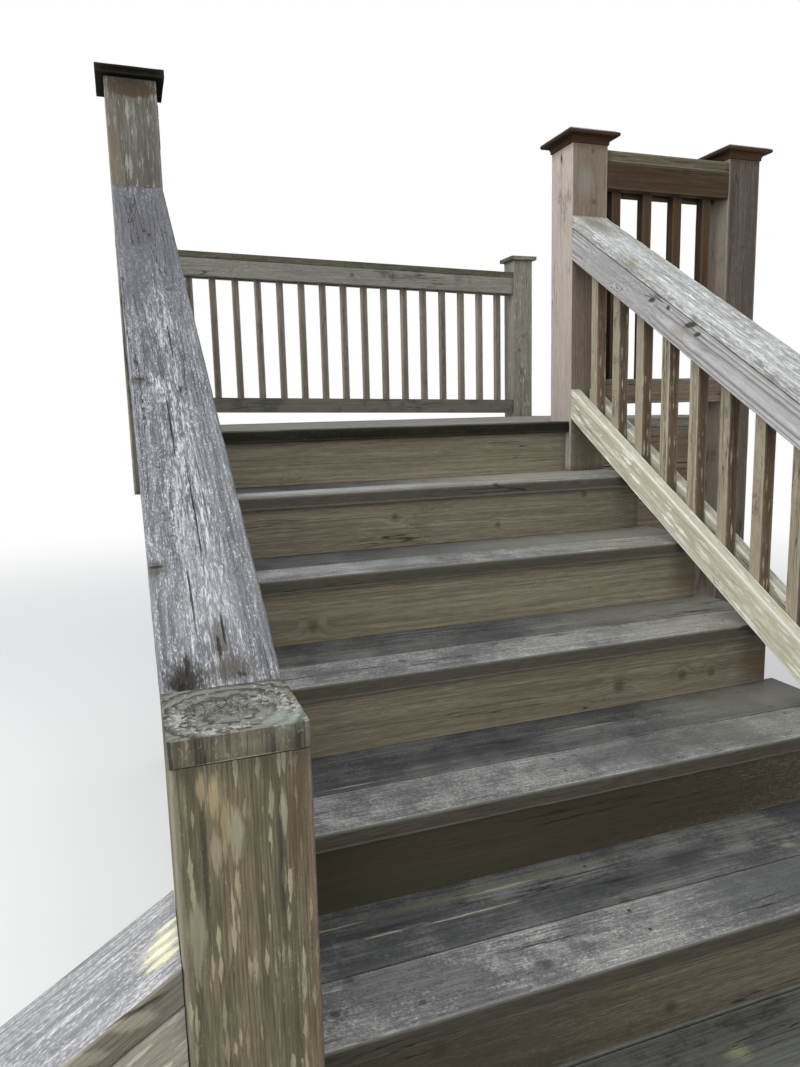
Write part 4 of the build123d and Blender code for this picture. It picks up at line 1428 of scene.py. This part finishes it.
def moulding_profile():
    """Steps of the moulding: how far out from the post, how far up from its top."""
    steps = [(0.0, 0.0), (FILLET, 0.0), (FILLET, FILLET_HEIGHT)]
    for index in range(1, CURVE_STEPS + 1):
        turn = index / CURVE_STEPS * math.pi / 2
        out = FILLET + (COVE_FLARE - FILLET) * (1 - math.cos(turn))
        steps.append((out, FILLET_HEIGHT + (COVE_HEIGHT - FILLET_HEIGHT) * math.sin(turn)))
    for index in range(CURVE_STEPS + 1):
        turn = -math.pi / 2 + index / CURVE_STEPS * math.pi
        out = PLATE_OVERHANG - PLATE_ROUND + PLATE_ROUND * math.cos(turn)
        steps.append((out, COVE_HEIGHT + PLATE_HALF_EDGE + PLATE_HALF_EDGE * math.sin(turn)))
    for inwards, up in PLATE_SHOULDERS:
        steps.append((PLATE_OVERHANG - inwards, COVE_HEIGHT + up))
    return steps


def mould_cap(node):
    """Takes the profile round the post's square and closes it with a low pyramid."""
    low_corner, high_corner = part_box(node)
    centre_x = (low_corner[0] + high_corner[0]) / 2
    centre_y = (low_corner[1] + high_corner[1]) / 2
    low = low_corner[2]
    timber = bmesh.new()
    rings = []
    for out, up in moulding_profile():
        reach = POST_HALF + out
        corners = [(-reach, -reach), (reach, -reach), (reach, reach), (-reach, reach)]
        rings.append([timber.verts.new((centre_x + x, centre_y + y, low + up)) for x, y in corners])
    timber.faces.new(reversed(rings[0]))
    for under, over in zip(rings, rings[1:]):
        for index in range(4):
            after = (index + 1) % 4
            timber.faces.new((under[index], under[after], over[after], over[index]))
    peak = timber.verts.new((centre_x, centre_y, low + COVE_HEIGHT + PLATE_HEIGHT + PYRAMID_RISE))
    for index in range(4):
        timber.faces.new((rings[-1][index], rings[-1][(index + 1) % 4], peak))
    for axis in (X_AXIS, Y_AXIS):
        cut_across(timber, axis, 0.03)
    wear_down(timber, node, 0.0005, 0.001, ())
    mark_boards(timber, X_AXIS, node, None)
    cap = fit(node, timber, [moulding_painted_sky_finish])
    for face in cap.data.polygons:
        face.use_smooth = False


for node in ("newel_cap", "return_cap"):
    mould_cap(node)
dress("top_left_cap", X_AXIS, plate_finish, spacing=0.03, across=0.03, chips=0.003, end_ease=0.003)
dress("back_post_caps", X_AXIS, pale_plate_finish, spacing=0.03, chips=0.004)
dress("landing_post_caps", X_AXIS, plate_finish, spacing=0.05, chips=0.002)
print("caps dressed")

# %% [markdown]
# Nails hold the boards to the frame. Each head is a shallow domed disc, a little smaller than a
# fingernail, driven almost flush, in dull rusty zinc. One mesh holds all heads of a flight, which
# keeps the number of pieces low.

# %% Nail heads
NAIL_RADIUS = 0.0038
NAIL_DOME = 0.0007
NAIL_SIDES = 10
NAIL_RINGS = ((1.0, -0.4), (1.0, 0.3), (0.6, 0.85))
ZINC = (0.055, 0.050, 0.045)
RUST = (0.090, 0.048, 0.028)


def nail_finish():
    """Dull rusty zinc."""
    bench = Bench(bpy.data.materials.new("rusty_nail_head"))
    place = bench.node("ShaderNodeTexCoord", {}, {}, "Object")
    rust = cloud(place, (180.0, 180.0, 180.0), 3.0, 0.6)
    colour = mixed(rising(rust, 0.4, 0.6), ZINC, RUST)
    relief = bench.node("ShaderNodeBump", {}, {"Height": rust, "Distance": 0.0003}, "Normal")
    sockets = {"Base Color": colour, "Roughness": 0.55 + rust * 0.3, "Metallic": 0.35, "Normal": relief}
    return bench.finish(bench.node("ShaderNodeBsdfPrincipled", {}, sockets, "BSDF"))


def add_head(steel, place, facing):
    """One domed head with its underside, facing the way that its board faces."""
    turn = Vector(facing).to_track_quat("Z", "Y").to_matrix()
    rings = []
    for radius, height in NAIL_RINGS:
        ring = []
        for index in range(NAIL_SIDES):
            angle = index * math.tau / NAIL_SIDES
            out = radius * NAIL_RADIUS
            offset = Vector((math.cos(angle) * out, math.sin(angle) * out, height * NAIL_DOME))
            ring.append(steel.verts.new(Vector(place) + turn @ offset))
        rings.append(ring)
    for low_ring, high_ring in zip(rings, rings[1:]):
        for index in range(NAIL_SIDES):
            after = (index + 1) % NAIL_SIDES
            steel.faces.new((low_ring[index], low_ring[after], high_ring[after], high_ring[index]))
    steel.faces.new(rings[-1])
    steel.faces.new(reversed(rings[0]))


def drive_nails(name, heads, finish):
    """One mesh with a head at every place."""
    steel = bmesh.new()
    for place, facing in heads:
        add_head(steel, place, facing)
    for face in steel.faces:
        face.smooth = True
    mesh = bpy.data.meshes.new(name)
    steel.to_mesh(mesh)
    steel.free()
    mesh.materials.append(finish)
    piece = add_object(name, mesh)
    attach(piece, "root")


print("nail heads ready")

# %% [markdown]
# Two nails hold each board over every stringer, and four hold the newel's foot. A nail is never
# quite where it was aimed, so each is moved by a few millimetres, drawn from its own place.

# %% Where the nails go
STRINGER_LINES = (0.089, 0.744, 1.399)
NAIL_SETBACKS = (0.055, 0.115, 0.170, 0.270)
NEWEL_FACE = 1.6274
NEWEL_NAILS = ((1.432, 1.912), (1.446, 1.819), (1.471, 1.825), (1.508, 1.842))
MISSED_BY = 0.004
SUNK = 0.0006
LANDING_TOP = 0.885


def scattered(key, place, facing):
    """A nail near the place where it was aimed, and the way that it faces."""
    draw = random.Random(f"{key} {place}")
    moved = []
    for value, part in zip(place, facing):
        moved.append(value + draw.uniform(-MISSED_BY, MISSED_BY) * (1 - abs(part)))
    return tuple(moved), facing


def on_upper_flight(line, ahead, top):
    return line, ahead, top


def on_lower_flight(line, ahead, top):
    return ahead, -line, top


def tread_heads(key, steps, base, first_nosing, placed):
    """The heads in the treads of one flight, whose base is the height that it starts from."""
    heads = []
    for step in range(1, steps + 1):
        top = base + step * RISE - SUNK
        front = first_nosing + (step - 1) * RUN
        for line in STRINGER_LINES:
            for back in NAIL_SETBACKS:
                heads.append(scattered(key, placed(line, front + back, top), UPWARD))
    return heads


zinc_finish = nail_finish()
upper_heads = tread_heads("upper", 5, LANDING_TOP, FIRST_UPPER_NOSING, on_upper_flight)
lower_heads = tread_heads("lower", 4, 0.0, FIRST_LOWER_NOSING, on_lower_flight)
newel_heads = [scattered("newel", (across, NEWEL_FACE, up), FRONTWARD) for across, up in NEWEL_NAILS]
drive_nails("upper_tread_nails", upper_heads, zinc_finish)
drive_nails("lower_tread_nails", lower_heads, zinc_finish)
drive_nails("newel_foot_nails", newel_heads, zinc_finish)
print("nails:", len(upper_heads) + len(lower_heads) + len(newel_heads))

# %% [markdown]
# The stair stands on a plain pale floor that keeps its shadow. With distance the floor fades into
# a white backdrop, by a mask that grows with the distance from the stair.

# %% Floor
HALF_FLOOR = 60.0
FLOOR_HEIGHT = -0.001
FADE_START = 5.0
FADE_END = 14.0
WHITE = (1.0, 1.0, 1.0, 1.0)
PALE = (0.80, 0.80, 0.79, 1.0)
floor_mesh = bpy.data.meshes.new("floor")
squares = ((-1, -1), (1, -1), (1, 1), (-1, 1))
corners = [(x * HALF_FLOOR, y * HALF_FLOOR, FLOOR_HEIGHT) for x, y in squares]
floor_mesh.from_pydata(corners, [], [(0, 1, 2, 3)])
add_object("floor", floor_mesh)
ground = Bench(bpy.data.materials.new("pale_floor"))
spot_on_floor = ground.node("ShaderNodeTexCoord", {}, {}, "Object")
far = rising(ground.vectors("LENGTH", spot_on_floor, output="Value"), FADE_START, FADE_END)
matt = ground.node("ShaderNodeBsdfDiffuse", {}, {"Color": PALE}, "BSDF")
glow = ground.node("ShaderNodeEmission", {}, {"Color": WHITE, "Strength": 1.0}, "Emission")
both = ground.node("ShaderNodeMixShader", {}, {0: far, 1: matt, 2: glow}, "Shader")
floor_mesh.materials.append(ground.finish(both))
print("floor", 2 * HALF_FLOOR, "m square")

# %% [markdown]
# The sky is white where the lens, a mirror or glass sees it, and a soft blue grey where it lights
# the boards, so the backdrop can be white without more light on the stair.

# %% Sky
SKY_LIGHT = (0.93, 0.96, 1.0, 1.0)
SKY_STRENGTH = 0.72
world = bpy.data.worlds.new("sky")
bpy.context.scene.world = world
sky = Bench(world)
to_lens = sky.node("ShaderNodeLightPath", {}, {}, "Is Camera Ray")
rays = to_lens.output.node.outputs
mirrored = sky.maths("MAXIMUM", Signal(sky, rays["Is Glossy Ray"]), Signal(sky, rays["Is Transmission Ray"]))
seen = sky.maths("MAXIMUM", to_lens, mirrored)
lit = sky.node("ShaderNodeBackground", {}, {"Color": SKY_LIGHT, "Strength": SKY_STRENGTH}, "Background")
backdrop = sky.node("ShaderNodeBackground", {}, {"Color": WHITE, "Strength": 1.0}, "Background")
choice = sky.node("ShaderNodeMixShader", {}, {0: seen, 1: lit, 2: backdrop}, "Shader")
sky.finish(choice, "ShaderNodeOutputWorld")
print("sky strength", SKY_STRENGTH)

# %% [markdown]
# Most of the light comes from the sky. A large lamp up to the left gives the faces that look that
# way their brightness, and one in front fills the shadows.

# %% Lamps


def lamp(name, place, target, size, power):
    """A large soft square lamp that looks at a point."""
    light = bpy.data.lights.new(name, "AREA")
    light.size = size
    light.energy = power
    look = Vector(target) - Vector(place)
    turn = look.to_track_quat("-Z", "Y").to_matrix().to_4x4()
    add_object(name, light).matrix_world = Matrix.Translation(place) @ turn


lamp("sky_left", place=(-5.0, 0.5, 6.0), target=(0.7, 1.2, 1.4), size=5.0, power=420.0)
lamp("sky_front", place=(-0.5, -6.5, 4.5), target=(0.7, 1.0, 1.2), size=6.0, power=380.0)
bpy.context.scene.view_settings.view_transform = "Standard"
print("lamps:", len(bpy.data.lights))

# %% [markdown]
# The last cell compares the dressed stair with the solid model's box and hands it over.

# %% Sizes and finish
bpy.context.view_layer.update()
